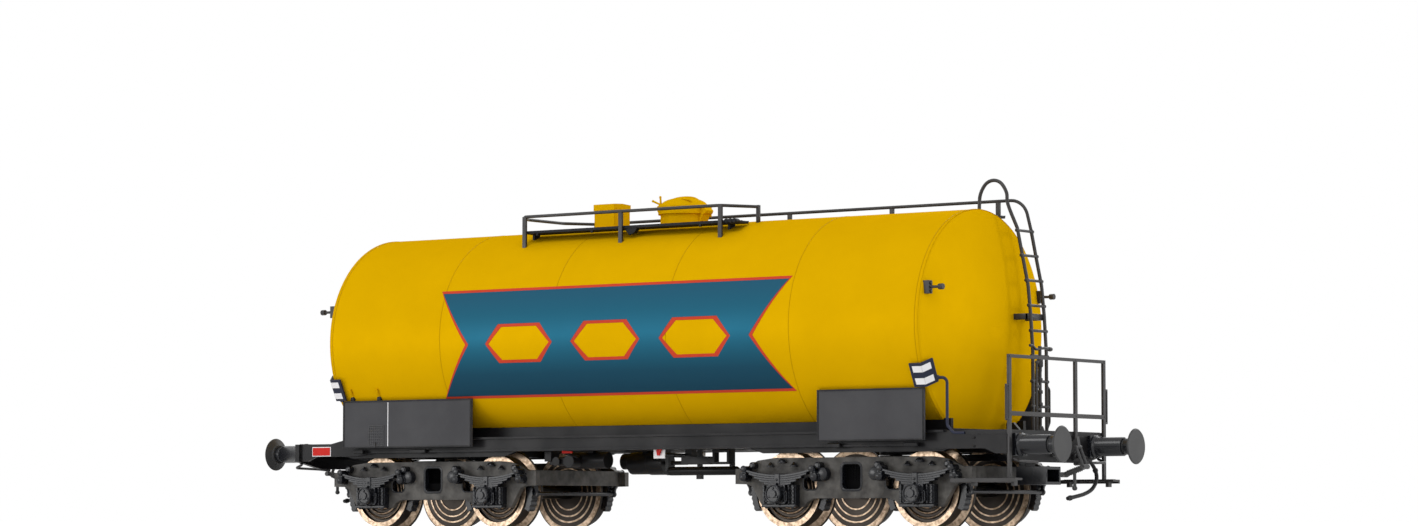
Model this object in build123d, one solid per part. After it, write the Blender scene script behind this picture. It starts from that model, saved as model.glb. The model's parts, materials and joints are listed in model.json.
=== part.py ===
from build123d import *
from math import asin, cos, degrees, radians, sin, sqrt
import os

# Scale model, 1:87, of a four-axle railway tank car. Millimetres.
# X runs along the car with the ladder and platform at +X, Y across it, Z up.
# The origin is on the floor under the middle of the car: the wheel flanges stand on z 0.

SIDES = (-1, 1)

# Wheelsets
WHEELBASE = 22.99
TREAD_R = 5.35
FLANGE_H = 0.95
FLANGE_TIP = 0.25
BACK_TO_BACK = 14.4
WHEEL_WIDTH = 2.9
FLANGE_WIDTH = 0.8
RIM_W = 0.8
WEB_DISH = 0.55
HUB_R = 1.7
HUB_SETBACK = 0.1
AXLE_R = 1.0
AXLE_SEAT_R = 0.75
JOURNAL_R = 0.45
JOURNAL_GAP = 0.15
FLANGE_R = TREAD_R + FLANGE_H
AXLE_Z = FLANGE_R
WHEEL_TOP = AXLE_Z + FLANGE_R
WHEEL_BACK = BACK_TO_BACK / 2
WHEEL_FACE = WHEEL_BACK + WHEEL_WIDTH
HUB_FACE = WHEEL_FACE - HUB_SETBACK

# Tank, and how far each of its ends stands from the headstock's face
TANK_R = 16.47
BARREL_LENGTH = 106.13
LEFT_END = 10.165
PLATFORM_END = 12.305
END_DEPTH = 3.0
END_SKIRT = 0.4
END_CHAMFER = 0.3
SEAT_GAP = 0.04
HEADSTOCK_FACE = (BARREL_LENGTH + LEFT_END + PLATFORM_END) / 2
BARREL_LEFT = LEFT_END - HEADSTOCK_FACE
BARREL_RIGHT = HEADSTOCK_FACE - PLATFORM_END
TANK_TIP = BARREL_RIGHT + END_DEPTH

# Solebars: channels that become plain stepped plates towards the ends.
# The levels are taken from the wheels' top, the x places from the headstock's face.
SILL_CLEAR = 0.35
SILL_DEPTH = 2.15
SILL_INNER = 12.2
WEB = 0.5
FLANGE_OUT = 0.45
SILL_FLANGE = 0.3
END_TOP_DROP = 0.65
END_BELLY = 0.45
CORNER_DROP = 1.15
CHANNEL_SETBACK = 10.1
SLOPE_SETBACK = 7.0
BELLY_START = 15.6
BELLY_END = 12.1
CORNER_START = 3.8
CORNER_END = 2.1
SILL_BOTTOM = WHEEL_TOP - SILL_CLEAR
SILL_TOP = SILL_BOTTOM + SILL_DEPTH
SILL_OUTER = SILL_INNER + WEB
SILL_EDGE = SILL_OUTER + FLANGE_OUT
END_TOP = SILL_TOP - END_TOP_DROP
CORNER_BOTTOM = SILL_BOTTOM - CORNER_DROP

# Cross-members, headstocks and what the tank rests on
HEADSTOCK = 0.8
HEADSTOCK_DROP = 2.25
HEADSTOCK_FLAT = 8.0
CROSS_COUNT = 7
CROSS_PITCH = 5.8
CROSS_DEPTH = 1.3
CROSS_WIDTH = 1.2
BOLSTER_WIDTH = 5.2
CENTRE_SILL_HALF = 3.0
CENTRE_SILL_LAP = 0.3
END_FLOOR = 0.5
TANK_SEAT = 0.38
CRADLE_OUT = 9.9
CRADLE = 0.6
CRADLE_LAP = 0.15
CRADLE_OVER = 1.4
END_PLATE_RISE = 1.15
GUSSET_Y = 5.0
GUSSET_REACH = 3.2
GUSSET_RISE = 2.2
GUSSET_TOP = 1.1
HEADSTOCK_BOTTOM = SILL_BOTTOM - HEADSTOCK_DROP
CROSS_TOP = SILL_BOTTOM + CROSS_DEPTH
TANK_Z = SILL_BOTTOM + TANK_SEAT + TANK_R
TANK_TOP = TANK_Z + TANK_R
GUSSET_END = max(BARREL_RIGHT, -BARREL_LEFT) + CRADLE_OVER + GUSSET_REACH

# Buffers and drawgear
BUFFER_REACH = 6.95
BUFFER_SPACING = 20.12
BUFFER_RISE = 1.2
BUFFER_DISC_R = 2.5
BUFFER_DISC = 0.6
BUFFER_EDGE = 0.15
BUFFER_HUB_R = 1.45
BUFFER_HUB = 0.3
BUFFER_STEM_R = 1.02
BUFFER_HOUSING_R = 1.22
BUFFER_HOUSING_L = 4.5
BUFFER_BASE = 3.1
BUFFER_BASE_T = 0.45
BUFFER_Z = CORNER_BOTTOM + BUFFER_RISE
HOOK_DROP = 0.2
HOOK_REACH = 3.4
HOOK_T = 0.7
HOOK_PLATE = 2.8
HOOK_PLATE_T = 0.35
LINK_R = 0.24
LINK_HALF = 0.55
SHACKLE_OUT = 1.1
SHACKLE_DROP = 2.7
SCREW_R = 0.36
SCREW_BACK = 3.3
SCREW_DROP = 1.1
HANDLE_L = 2.4
BUFFER_FACE = HEADSTOCK_FACE + BUFFER_REACH
HOOK_Z = BUFFER_Z - HOOK_DROP

# Brake hoses: radius, how far they stand out, and their points as (y, height under the solebar)
HOSE_R = 0.28
HOSE_OUT = 1.6
HOSE_NUT_R = 0.45
HOSE_NUT = 0.4
HOSE_POINTS = ((4.6, 1.45), (6.6, 2.2), (7.9, 3.4), (8.1, 4.6), (7.0, 5.8), (5.0, 6.5), (0.2, 7.2))

# Shunters' grips under the headstocks
GRIP_Y = (5.6, 12.0)
GRIP_R = 0.19
GRIP_OUT = 1.0
GRIP_DROP = 0.85
GRIP_SPLAY = 0.9

# Close coupler with its standard pocket
POCKET_SETBACK = 7.5
POCKET_W = 3.2
POCKET_H = 1.7
POCKET_WALL = 0.4
POCKET_L = 4.75
POCKET_Z = 8.2
POCKET_DEPTH = 4.0
RISER_T = 1.1
SHAFT_LIFT = 0.8
SHAFT_T = 0.9
SHAFT_W = 2.4
SHAFT_ROOM = 0.3
COUPLER_SETBACK = 18.3
COUPLER_PIN_R = 0.7
EYE_RIM = 0.78
PIN_GAP = 0.12
PIN_TAIL = 0.4
COUPLER_PIN_X = HEADSTOCK_FACE - COUPLER_SETBACK
POCKET_MOUTH = BUFFER_FACE - POCKET_SETBACK

# Bogies: x from an axle or the middle, heights from the axles' level
BOGIE_SETBACK = 26.37
WHEEL_CLEAR = 0.4
FRAME_T = 0.9
TAB_TOP = 3.05
TAB_BOTTOM = 0.9
TAB_L = 1.0
BEAM_GAP = 0.255
BEAM_T = 0.75
BEAM_BOTTOM = 0.95
BEAM_TOP = 3.2
TRANSOM_HALF = 2.5
TRANSOM_BOTTOM = 1.3
TRANSOM_TOP = 4.3
PIVOT_PAD_R = 2.3
PIVOT_PAD = 0.6
PIVOT_GAP = 0.1
CAR_PAD = 0.45
PIVOT_PIN_R = 0.9
# Outline of a side frame's outer end as (x from the axle, height): down to its tab, then on below it
FRAME_END = ((1.5, 4.55), (4.4, 4.2), (6.0, 3.45), (6.9, 3.05))
FRAME_FOOT = ((6.2, 0.85), (5.4, 0.5), (4.3, -1.25), (3.55, -2.4),
              (-3.4, -2.4), (-4.15, -1.6), (-5.15, -1.18))
WINDOW_W = 3.3
WINDOW_Z = (0.0, 3.65)
SIDE_WINDOW_X = (-5.8, -3.4)
SIDE_WINDOW_Z = (0.05, 1.85)
WINDOW_CORNER = 0.45
BOGIE_X = HEADSTOCK_FACE - BOGIE_SETBACK
FRAME_INNER = WHEEL_FACE + WHEEL_CLEAR
FRAME_OUT = FRAME_INNER + FRAME_T
BEAM_IN = WHEELBASE / 2 + FLANGE_R + BEAM_GAP
FRAME_HALF = BEAM_IN + BEAM_T + TAB_L
SHAFT_BOTTOM = AXLE_Z + BEAM_TOP + SHAFT_LIFT

# Springs over the axles, from the axle and from its level
SPRING_HALF = 5.8
SPRING_OUT = 0.6
SPRING_W = 0.95
LEAF_T = 0.32
LEAVES = 5
SPRING_EYE_Z = 3.0
SPRING_SAG = 0.6
BUCKLE_W = 0.9
BUCKLE_LAP = 0.15
EYE_R = 0.45
SHACKLE_R = 0.58
SHACKLE_L = 1.05
SHACKLE_LEAN = 0.25
SHACKLE_W = 0.6
STOP_PITCH = 2.0
STOP_H = 0.75
STOP_HALF = 0.45
STOP_OUT = 0.45
STOP_GAP = 0.3
STOP_RISE = 0.6

# Axleboxes, their covers and guides
AXLEBOX_HALF = 1.45
AXLEBOX_OUT = 1.8
AXLEBOX_TOP = 0.7
AXLEBOX_BOTTOM = -1.9
COVER_R = 1.3
COVER_T = 0.85
COVER_Z = -0.55
COVER_BOSS_R = 0.6
COVER_BOSS = 0.2
GUIDE_W = 1.35
GUIDE_OUT = 1.05
GUIDE_RIB = 0.3
GUIDE_RIB_OUT = 0.3
GUIDE_FACE = FRAME_OUT + GUIDE_OUT

# Brake shoes
SHOE_GAP = 0.3
SHOE_T = 1.1
SHOE_BACK = 0.4
SHOE_IN = 0.1
SHOE_TOP_ANGLE = -12.0
SHOE_ARC = 46.0
BEAM_R = 0.35
BEAM_ANGLE = 25.0
HANGER = 0.6

# Roof walkway and rail: heights from the tank's top, posts from the left
WALKWAY_DROP = 0.32
WALKWAY_T = 0.4
WALKWAY_ENDS = (0.54, 2.4)
PLANK_INNER = 5.3
PLANK_SETBACK = 0.8
BRIDGE_W = 0.8
BRIDGE_RISE = 0.4
BRIDGE_INSET = (13.5, 9.5)
BRACKET_W = 1.4
BRACKET_T = 0.4
BRACKET_IN = 1.0
BRACKET_DEPTH = 2.2
RAIL_NEAR = 9.05
RAIL_FAR = 8.6
RAIL_RISE = 1.83
RAIL_R = 0.24
POST_W = 0.65
POST_T = 0.35
POST_FIRST = -22.26
POST_SPACES = 4
LAST_POST_SETBACK = 2.135
POST_ROOT = 0.6
RAIL_BOW = 3.0
GATE_X = 3.0
GATE_Y = 3.8
GATE_W = 0.5
RAIL_DROP_X = (0.6, 2.6)
RAIL_DROP = 1.8
POST_PITCH = (BARREL_RIGHT - LAST_POST_SETBACK - POST_FIRST) / POST_SPACES
LAST_NEAR_POST = POST_FIRST + 2 * POST_PITCH
WALKWAY_TOP = TANK_TOP - WALKWAY_DROP
RAIL_Z = TANK_TOP + RAIL_RISE

# Manhole and valve box
MANHOLE_X = 0.7
NECK_R = 3.5
NECK_RISE = 1.63
NECK_ROOT = 1.0
RIM_OVER = 0.35
RIM_T = 0.8
LID_RISE = 1.75
LID_FLAT = 0.8
BOLTS = 4
BOLT_TURN = 45.0
BOLT_R = 0.25
BOLT_H = 1.3
WING_HALF = 0.8
WING_R = 0.2
HANDLE_HALF = 0.9
HANDLE_RISE = 0.45
HANDLE_R = 0.16
BOX_X = -12.7
BOX_L = 3.7
BOX_W = 3.9
BOX_RISE = 3.88
BOX_LID = 1.05
BOX_LID_OVER = 0.1
BOX_RIDGE = 0.12
NECK_TOP = TANK_TOP + NECK_RISE
RIM_TOP = NECK_TOP + RIM_T
RIM_R = NECK_R + RIM_OVER
BOX_TOP = TANK_TOP + BOX_RISE

# Ladder on the tank's end
LADDER_Y = (4.9, 8.6)
LADDER_R = 0.26
# Its rails, as (x from the tank's tip, height under the tank's top)
LADDER_BENDS = ((2.655, -19.87), (2.355, -14.87), (1.955, -10.57), (1.105, -6.57), (0.255, -2.47))
# The hoop over its top, as (x from the barrel's end, height from the tank's top)
HOOP = ((1.75, 0.93), (1.4, 2.73), (0.5, 4.0), (-0.5, 4.5), (-1.7, 4.0), (-2.9, 2.43), (-3.0, -1.1))
RUNG_R = 0.2
RUNG_DROP = 0.3
RUNG_PITCH = 3.55
RUNGS = 8
STAY_RISE = 1.5
STAY_H = 0.85
STAY_T = 0.4
STAY_OVER = 0.35
STAY_LEG = 0.4
GRAB_OUT = 0.8
GRAB_R = 0.17
# The grab handle beside its far rail, as (step out as a share of GRAB_OUT, height over the deck)
GRAB_POINTS = ((0.0, 6.7), (1.0, 6.1), (1.0, 1.5), (0.0, 0.4))
LADDER_TOP = TANK_TOP + LADDER_BENDS[-1][1]

# Platform, its railing, handbrake and steps
DECK_T = 0.55
DECK_HALF = 12.6
DECK_GAP = 2.0
RAILING_H = 10.2
RAILING_LOW = 2.2
RAILING_POST_W = 0.65
RAILING_T = 0.35
RAILING_BAR = 0.45
RAILING_LOW_BAR = 0.6
RAILING_INSET = 0.1
MID_POST_Y = 4.9
MID_POST_FOOT = 0.25
GRAB_IRON_Z = (1.4, 6.0)
GRAB_IRON_OUT = 0.5
STEP_DROP = 6.0
STEP_T = 0.3
STEP_LIP = 0.55
STEP_LIP_T = 0.35
STEP_L = 8.3
STEP_OUT = 1.9
STEP_LIP_OVER = 2.0
STEP_IN = 0.85
STEP_SIDE = 1.0
STEP_LUG = 0.5
STEP_LUG_INSET = 1.0
BRAKE_POST_SETBACK = 4.0
BRAKE_POST_Y = 2.4
BRAKE_POST_R = 0.25
BRAKE_FOOT_R = 0.6
BRAKE_FOOT = 0.8
CRANK_RISE = 1.4
CRANK_L = 2.7
CRANK_LIFT = 0.35
CRANK_R = 0.2
KNOB_R = 0.3
KNOB_L = 0.8
BEARING_R = 0.45
BEARING_H = 1.3
BEARING_DROP = 2.6
GUARD_OUT = 0.9
GUARD_R = 0.22
GUARD_DROP = 1.7
DECK_INNER = TANK_TIP + DECK_GAP
DECK_TOP = END_TOP + DECK_T
RAILING_TOP = DECK_TOP + RAILING_H
STEP_TOP = END_TOP - STEP_DROP
BRAKE_POST_X = HEADSTOCK_FACE - BRAKE_POST_SETBACK
CRANK_Z = RAILING_TOP + CRANK_RISE

# Boards on the sides, marker boards and lamp brackets
BOARD_GAP = 0.09
BOARD_T = 0.4
BOARD_RISE = 5.8
BOARD_FOOT = 0.75
LONG_BOARD_L = 25.25
LONG_BOARD_INSET = 0.735
SHORT_BOARD_L = 17.6
SHORT_BOARD_INSET = 0.195
BOARD_BRACKET_W = 1.2
BOARD_BRACKET_INSET = 3.0
MARKER_LEAF = 1.8
MARKER_END_LEAF = 1.9
MARKER_H = 3.5
MARKER_T = 0.25
MARKER_FOLD = 62.0
MARKER_OUT = 0.3
MARKER_GAP = 0.3
MARKER_RISE = 1.73
MARKER_ROD_R = 0.21
MARKER_ROD_X = 2.5
MARKER_CLAMP = 0.6
STRAP_W = 0.6
STRAP_IN = 0.22
STRAP_T = 0.4
STRAP_RISE = 0.25
LAMP_RISE = 4.8
LAMP_INSET = 0.91
LAMP_LUG = 0.9
LAMP_LUG_H = 1.8
LAMP_LUG_X = (0.3, 1.3)
LAMP_ARM = 3.0
LAMP_ARM_R = 0.2
LAMP_SOCKET_R = 0.42
LAMP_SOCKET = 0.7
BOARD_TOP = SILL_TOP + BOARD_RISE
BOARD_BOTTOM = SILL_BOTTOM + BOARD_FOOT

# Brake gear under the middle: depths are under the solebars' bottom
CYLINDER_DEPTH = 1.75
CYLINDER_R = 1.65
CYLINDER_L = 3.5
CYLINDER_HEAD_R = 1.75
CYLINDER_HEAD = 3.0
CYLINDER_X = -8.7
PISTON_R = 0.3
PISTON_L = 3.6
AIR_TANK_R = 1.2
AIR_TANK_L = 6.4
AIR_TANK_X = -15.0
AIR_TANK_Y = 6.2
AIR_TANK_DEPTH = 1.35
STRAP_L = 1.0
RELAY_Y = (-9.5, -7.5)
RELAY_Z = 1.5
# Flanged ends of the relay valve, as (x from the first cross-member, radius)
RELAY_FLANGES = ((1.5, 0.66), (3.9, 0.95))
RELAY_BODY = 0.5
VALVE_X = (4.5, 9.4)
VALVE_Y = (-5.9, -4.7)
VALVE_DEPTH = (0.95, 2.1)
VALVE_FRAME_X = (10.1, 13.0)
VALVE_FRAME_T = 0.35
LINKAGE_X = (0.0, 12.1)
LINKAGE_Y = (-3.3, -2.7)
LINKAGE_DEPTH = (2.9, 3.6)
LINKAGE_DROP = (0.9, 0.6)


def block(x, y, z):
    """A box between two values along each axis."""
    spans = (x, y, z)
    middle = [(low + high) / 2 for low, high in spans]
    return Pos(*middle) * Box(*[high - low for low, high in spans])


def across(side, inner, outer):
    """A pair of values, lowest first, on one side of the middle."""
    return (inner, outer) if side > 0 else (-outer, -inner)


def about(middle, size):
    """A pair of values round a middle."""
    return (middle - size / 2, middle + size / 2)


def rod(start, end, radius):
    """A round bar between two points."""
    line = Vector(*end) - Vector(*start)
    return Solid.make_cylinder(radius, line.length, Plane(origin=start, z_dir=line))


def bar(start, end, radius):
    """A small round bar, eight-sided, between two points."""
    line = Vector(*end) - Vector(*start)
    return extrude(Plane(origin=start, z_dir=line) * RegularPolygon(radius, 8), amount=line.length)


def wire(points, radius):
    """A bent wire, eight-sided, with mitred corners."""
    path = Polyline(*points)
    section = Plane(origin=path @ 0, z_dir=path % 0) * RegularPolygon(radius, 8)
    return sweep(section, path=path, transition=Transition.RIGHT)


def upright_plate(outline, y):
    """A plate whose outline is given in x and z, between two values of y."""
    face = make_face(Polyline(*[(x, y[0], z) for x, z in outline], close=True))
    return extrude(face, amount=y[1] - y[0], dir=(0, 1, 0))


def turned(outline, axis=Axis.Y):
    """A solid turned about the Y axis from points of (radius, y), or about the X axis from (x, radius)."""
    if axis == Axis.Y:
        points = [(r, y, 0) for r, y in outline]
    else:
        points = [(x, r, 0) for x, r in outline]
    return revolve(make_face(Polyline(*points, close=True)), axis=axis)


def cap_line(edge, apex, radius):
    """The outline of a shallow round cap, from its apex on the X axis to its edge."""
    rise = apex - edge
    sphere = (radius ** 2 + rise ** 2) / (2 * rise)
    return CenterArc((apex - sphere, 0), sphere, 0, degrees(asin(radius / sphere)))


def at_end(piece, side):
    """A piece made for the +X end, turned round for the other end."""
    return piece if side > 0 else Rot(0, 0, 180) * piece


def at_corner(piece, side, hand):
    """A piece made for the far right corner, mirrored to any corner."""
    piece = piece if hand > 0 else mirror(piece, about=Plane.XZ)
    return piece if side > 0 else mirror(piece, about=Plane.YZ)


def tank_height(y):
    """Height of the tank's top surface at a distance y from the middle."""
    return TANK_Z + sqrt(TANK_R ** 2 - y ** 2)


def tank_underside(y):
    """Height of the tank's lower surface at a distance y from the middle."""
    return TANK_Z - sqrt(TANK_R ** 2 - y ** 2)


def tank_side(z):
    """How far out the tank's side is at a height."""
    return sqrt(TANK_R ** 2 - (z - TANK_Z) ** 2)


def sill_top(x):
    """Height of the solebar's top edge at a distance x from the middle."""
    start = HEADSTOCK_FACE - CHANNEL_SETBACK
    end = HEADSTOCK_FACE - SLOPE_SETBACK
    share = min(max((x - start) / (end - start), 0.0), 1.0)
    return SILL_TOP - share * END_TOP_DROP


# Tank

def tank_end(side, grow=0.0):
    """A shallow dished end with a small broken edge."""
    depth = END_DEPTH + grow
    radius = TANK_R + grow
    rim = radius - END_CHAMFER
    crown = cap_line(END_SKIRT, depth, rim)
    back = Polyline(crown @ 1, (END_SKIRT - END_CHAMFER, radius), (0, radius), (0, 0), (depth, 0))
    end = revolve(make_face(crown.edges() + back.edges()), axis=Axis.X)
    place = BARREL_RIGHT if side > 0 else BARREL_LEFT
    return Pos(place, 0, TANK_Z) * at_end(end, side)


def barrel(grow=0.0):
    """The round barrel."""
    return rod((BARREL_LEFT, 0, TANK_Z), (BARREL_RIGHT, 0, TANK_Z), TANK_R + grow)


def tank_space():
    """The tank with its seat gap, to cut what it rests in."""
    return barrel(SEAT_GAP) + [tank_end(side, SEAT_GAP) for side in SIDES]


def gusset(side):
    """A sloping rib from the frame's end up under the tank's end, on the far side."""
    start = (BARREL_RIGHT if side > 0 else -BARREL_LEFT) + CRADLE_OVER
    top = CROSS_TOP + GUSSET_RISE
    outline = [(start, CROSS_TOP), (start, top), (start + GUSSET_TOP, top),
               (start + GUSSET_REACH, CROSS_TOP)]
    rib = upright_plate(outline, about(GUSSET_Y, CRADLE))
    return at_corner(rib, side, 1)


def tank_cradle():
    """Two long upright plates with a cross plate and ribs at each end, cut to the tank."""
    x = (BARREL_LEFT - CRADLE_OVER, BARREL_RIGHT + CRADLE_OVER)
    top = tank_underside(CRADLE_OUT) + CRADLE_LAP
    plates = [block(x, across(side, CRADLE_OUT - CRADLE, CRADLE_OUT), (CROSS_TOP, top)) for side in SIDES]
    for end in ((x[0], x[0] + CRADLE), (x[1] - CRADLE, x[1])):
        plates.append(block(end, (-CRADLE_OUT, CRADLE_OUT), (CROSS_TOP, CROSS_TOP + END_PLATE_RISE)))
    plates += [gusset(side) for side in SIDES]
    return plates[0] + plates[1:] - tank_space()


# Underframe

def solebar(side):
    """One long side member: a channel between the bogies, plain stepped plates at the ends."""
    end = HEADSTOCK_FACE - HEADSTOCK
    channel = HEADSTOCK_FACE - CHANNEL_SETBACK
    belly = SILL_BOTTOM - END_BELLY
    half = [(channel, SILL_TOP), (HEADSTOCK_FACE - SLOPE_SETBACK, END_TOP),
            (end, END_TOP), (end, CORNER_BOTTOM),
            (HEADSTOCK_FACE - CORNER_END, CORNER_BOTTOM), (HEADSTOCK_FACE - CORNER_START, belly),
            (HEADSTOCK_FACE - BELLY_END, belly), (HEADSTOCK_FACE - BELLY_START, SILL_BOTTOM)]
    outline = half + [(-x, z) for x, z in reversed(half)]
    web = upright_plate(outline, across(side, SILL_INNER, SILL_OUTER))
    y = across(side, SILL_INNER, SILL_EDGE)
    low = HEADSTOCK_FACE - BELLY_START
    top = block((-channel, channel), y, (SILL_TOP - SILL_FLANGE, SILL_TOP))
    bottom = block((-low, low), y, (SILL_BOTTOM, SILL_BOTTOM + SILL_FLANGE))
    return web + [top, bottom]


def headstock(side):
    """The end beam that carries the buffers, with its lower corners cut away."""
    outline = [(-SILL_EDGE, END_TOP), (-SILL_EDGE, CORNER_BOTTOM), (-HEADSTOCK_FLAT, HEADSTOCK_BOTTOM),
               (HEADSTOCK_FLAT, HEADSTOCK_BOTTOM), (SILL_EDGE, CORNER_BOTTOM), (SILL_EDGE, END_TOP)]
    x = side * HEADSTOCK_FACE
    face = make_face(Polyline(*[(x, y, z) for y, z in outline], close=True))
    return extrude(face, amount=HEADSTOCK, dir=(-side, 0, 0))


def bogie_seat():
    """The bolster over one bogie with its pad and pin, for the +X end."""
    pad = AXLE_Z + TRANSOM_TOP + PIVOT_PAD + PIVOT_GAP
    bottom = pad + CAR_PAD
    seat = block(about(BOGIE_X, BOLSTER_WIDTH), (-SILL_INNER, SILL_INNER), (bottom, CROSS_TOP))
    seat += rod((BOGIE_X, 0, pad), (BOGIE_X, 0, CROSS_TOP), PIVOT_PAD_R)
    return seat + rod((BOGIE_X, 0, AXLE_Z + TRANSOM_BOTTOM), (BOGIE_X, 0, CROSS_TOP), PIVOT_PIN_R)


def end_frame():
    """The centre sill, the coupler's pin and the floor behind the +X headstock."""
    end = HEADSTOCK_FACE - HEADSTOCK
    sill_z = (SHAFT_BOTTOM + SHAFT_T + SHAFT_ROOM, SILL_BOTTOM + CENTRE_SILL_LAP)
    frame = block((BOGIE_X, end), (-CENTRE_SILL_HALF, CENTRE_SILL_HALF), sill_z)
    floor = (GUSSET_END + SEAT_GAP, end)
    frame += block(floor, (-SILL_INNER, SILL_INNER), (END_TOP - END_FLOOR, END_TOP))
    pin = COUPLER_PIN_X
    return frame + rod((pin, 0, SHAFT_BOTTOM - PIN_TAIL), (pin, 0, sill_z[1]), COUPLER_PIN_R)


def underframe():
    """Solebars, headstocks, cross-members, bolsters, centre sills and the swivel pins in one."""
    frame = solebar(-1) + solebar(1) + headstock(-1) + headstock(1)
    for i in range(CROSS_COUNT):
        x = (i - (CROSS_COUNT - 1) / 2) * CROSS_PITCH
        frame += block(about(x, CROSS_WIDTH), (-SILL_INNER, SILL_INNER), (SILL_BOTTOM, CROSS_TOP))
    for side in SIDES:
        frame += at_end(bogie_seat(), side)
        frame += at_end(end_frame(), side)
    return frame - tank_space()


def end_deck():
    """The platform's floor over the end of the frame."""
    return block((DECK_INNER, HEADSTOCK_FACE), (-DECK_HALF, DECK_HALF), (END_TOP, DECK_TOP))


# Buffers and drawgear, made for the +X end

def buffer_housing(side, hand):
    """A square base plate with a round housing on it."""
    y = hand * BUFFER_SPACING / 2
    root = HEADSTOCK_FACE
    tip = root + BUFFER_HOUSING_L
    base = block((root, root + BUFFER_BASE_T), about(y, BUFFER_BASE), about(BUFFER_Z, BUFFER_BASE))
    return at_end(base + rod((root, y, BUFFER_Z), (tip, y, BUFFER_Z), BUFFER_HOUSING_R), side)


def buffer_head(side, hand):
    """A stem, a hub and a round disc, whose face is the end of the car."""
    root = HEADSTOCK_FACE + BUFFER_HOUSING_L
    back = BUFFER_FACE - BUFFER_DISC
    hub = back - BUFFER_HUB
    outline = [(root, 0), (root, BUFFER_STEM_R), (hub, BUFFER_STEM_R), (hub, BUFFER_HUB_R),
               (back, BUFFER_HUB_R), (BUFFER_FACE - BUFFER_EDGE, BUFFER_DISC_R),
               (BUFFER_FACE, BUFFER_DISC_R - BUFFER_EDGE), (BUFFER_FACE, 0)]
    head = Pos(0, hand * BUFFER_SPACING / 2, BUFFER_Z) * turned(outline, Axis.X)
    return at_end(head, side)


def drawgear(side):
    """The draw hook with its shackle, screw and hanging handle."""
    x = HEADSTOCK_FACE
    tip = x + HOOK_REACH
    outline = [(x, HOOK_Z - HOOK_T), (x, HOOK_Z + HOOK_T), (tip - HOOK_T, HOOK_Z + HOOK_T),
               (tip, HOOK_Z + 2 * HOOK_T), (tip + LINK_R, HOOK_Z), (tip - LINK_R, HOOK_Z - HOOK_T)]
    hook = upright_plate(outline, about(0, HOOK_T))
    plate = block((x, x + HOOK_PLATE_T), about(0, HOOK_PLATE), about(HOOK_Z, HOOK_PLATE))
    low = (tip + SHACKLE_OUT, HOOK_Z - SHACKLE_DROP)
    back = (low[0] - SCREW_BACK, low[1] - SCREW_DROP)
    middle = ((low[0] + back[0]) / 2, (low[1] + back[1]) / 2)
    reach = LINK_HALF + LINK_R
    gear = hook + plate
    gear += bar((tip, -reach, HOOK_Z), (tip, reach, HOOK_Z), LINK_R)
    for y in (-LINK_HALF, LINK_HALF):
        gear += bar((tip, y, HOOK_Z), (low[0], y, low[1]), LINK_R)
    for end in (low, back):
        gear += bar((end[0], -reach, end[1]), (end[0], reach, end[1]), SCREW_R)
    gear += bar((low[0], 0, low[1]), (back[0], 0, back[1]), SCREW_R)
    gear += bar((middle[0], 0, middle[1]), (middle[0], 0, middle[1] - HANDLE_L), LINK_R)
    return at_end(gear, side)


def brake_hose(side):
    """A stiff moulded brake hose below the headstock, on the far side of the hook."""
    root = HEADSTOCK_FACE
    run = [(root + HOSE_OUT, y, SILL_BOTTOM - depth) for y, depth in HOSE_POINTS]
    _, y, z = run[0]
    hose = wire([(root, y, z)] + run, HOSE_R)
    return at_corner(hose + bar((root, y, z), (root + HOSE_NUT, y, z), HOSE_NUT_R), side, 1)


def shunter_grip(side, hand):
    """A bent wire handle that stands out under the headstock, below the buffer."""
    x = HEADSTOCK_FACE - HEADSTOCK / 2
    out = HEADSTOCK_FACE + GRIP_OUT
    inner, outer = GRIP_Y
    slope = (CORNER_BOTTOM - HEADSTOCK_BOTTOM) / (SILL_EDGE - HEADSTOCK_FLAT)
    seat = HEADSTOCK_BOTTOM + slope * (outer - GRIP_R - HEADSTOCK_FLAT)
    low = HEADSTOCK_BOTTOM - GRIP_DROP
    points = [(x, outer, seat), (x, outer, seat - GRIP_R * 2),
              (out, outer, low), (out, inner + GRIP_SPLAY, low),
              (x, inner, HEADSTOCK_BOTTOM - GRIP_R * 2), (x, inner, HEADSTOCK_BOTTOM)]
    return at_corner(wire(points, GRIP_R), side, hand)


# Coupler

def coupler(side):
    """A shaft that swings on a pin under the centre sill, and the pocket at its end."""
    mouth = POCKET_MOUTH
    back = mouth - POCKET_L
    pin = COUPLER_PIN_X
    low = SHAFT_BOTTOM
    high = low + SHAFT_T
    around = 2 * POCKET_WALL
    y = about(0, SHAFT_W)
    pocket = block((back, mouth), about(0, POCKET_W + around), about(POCKET_Z, POCKET_H + around))
    pocket -= block((mouth - POCKET_DEPTH, mouth), about(0, POCKET_W), about(POCKET_Z, POCKET_H))
    riser = block((back, back + RISER_T), y, (POCKET_Z + POCKET_H / 2, high))
    shaft = block((pin, back + RISER_T), y, (low, high))
    eye = rod((pin, 0, low), (pin, 0, high), COUPLER_PIN_R + EYE_RIM)
    bore = rod((pin, 0, low - PIN_TAIL), (pin, 0, high + PIN_TAIL), COUPLER_PIN_R + PIN_GAP)
    return at_end(pocket + [riser, shaft, eye] - bore, side)


# Wheelsets

def wheel(side):
    """A one-piece wheel: flange, tread, rim, sunk web and hub."""
    back = WHEEL_BACK
    rim = TREAD_R - RIM_W
    web = WHEEL_FACE - WEB_DISH
    outline = [(AXLE_SEAT_R, back), (FLANGE_R, back), (FLANGE_R, back + FLANGE_TIP),
               (TREAD_R, back + FLANGE_WIDTH), (TREAD_R, WHEEL_FACE), (rim, WHEEL_FACE),
               (rim, web), (HUB_R, web), (HUB_R, HUB_FACE), (AXLE_SEAT_R, HUB_FACE)]
    return Pos(0, 0, AXLE_Z) * turned([(r, side * y) for r, y in outline])


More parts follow.
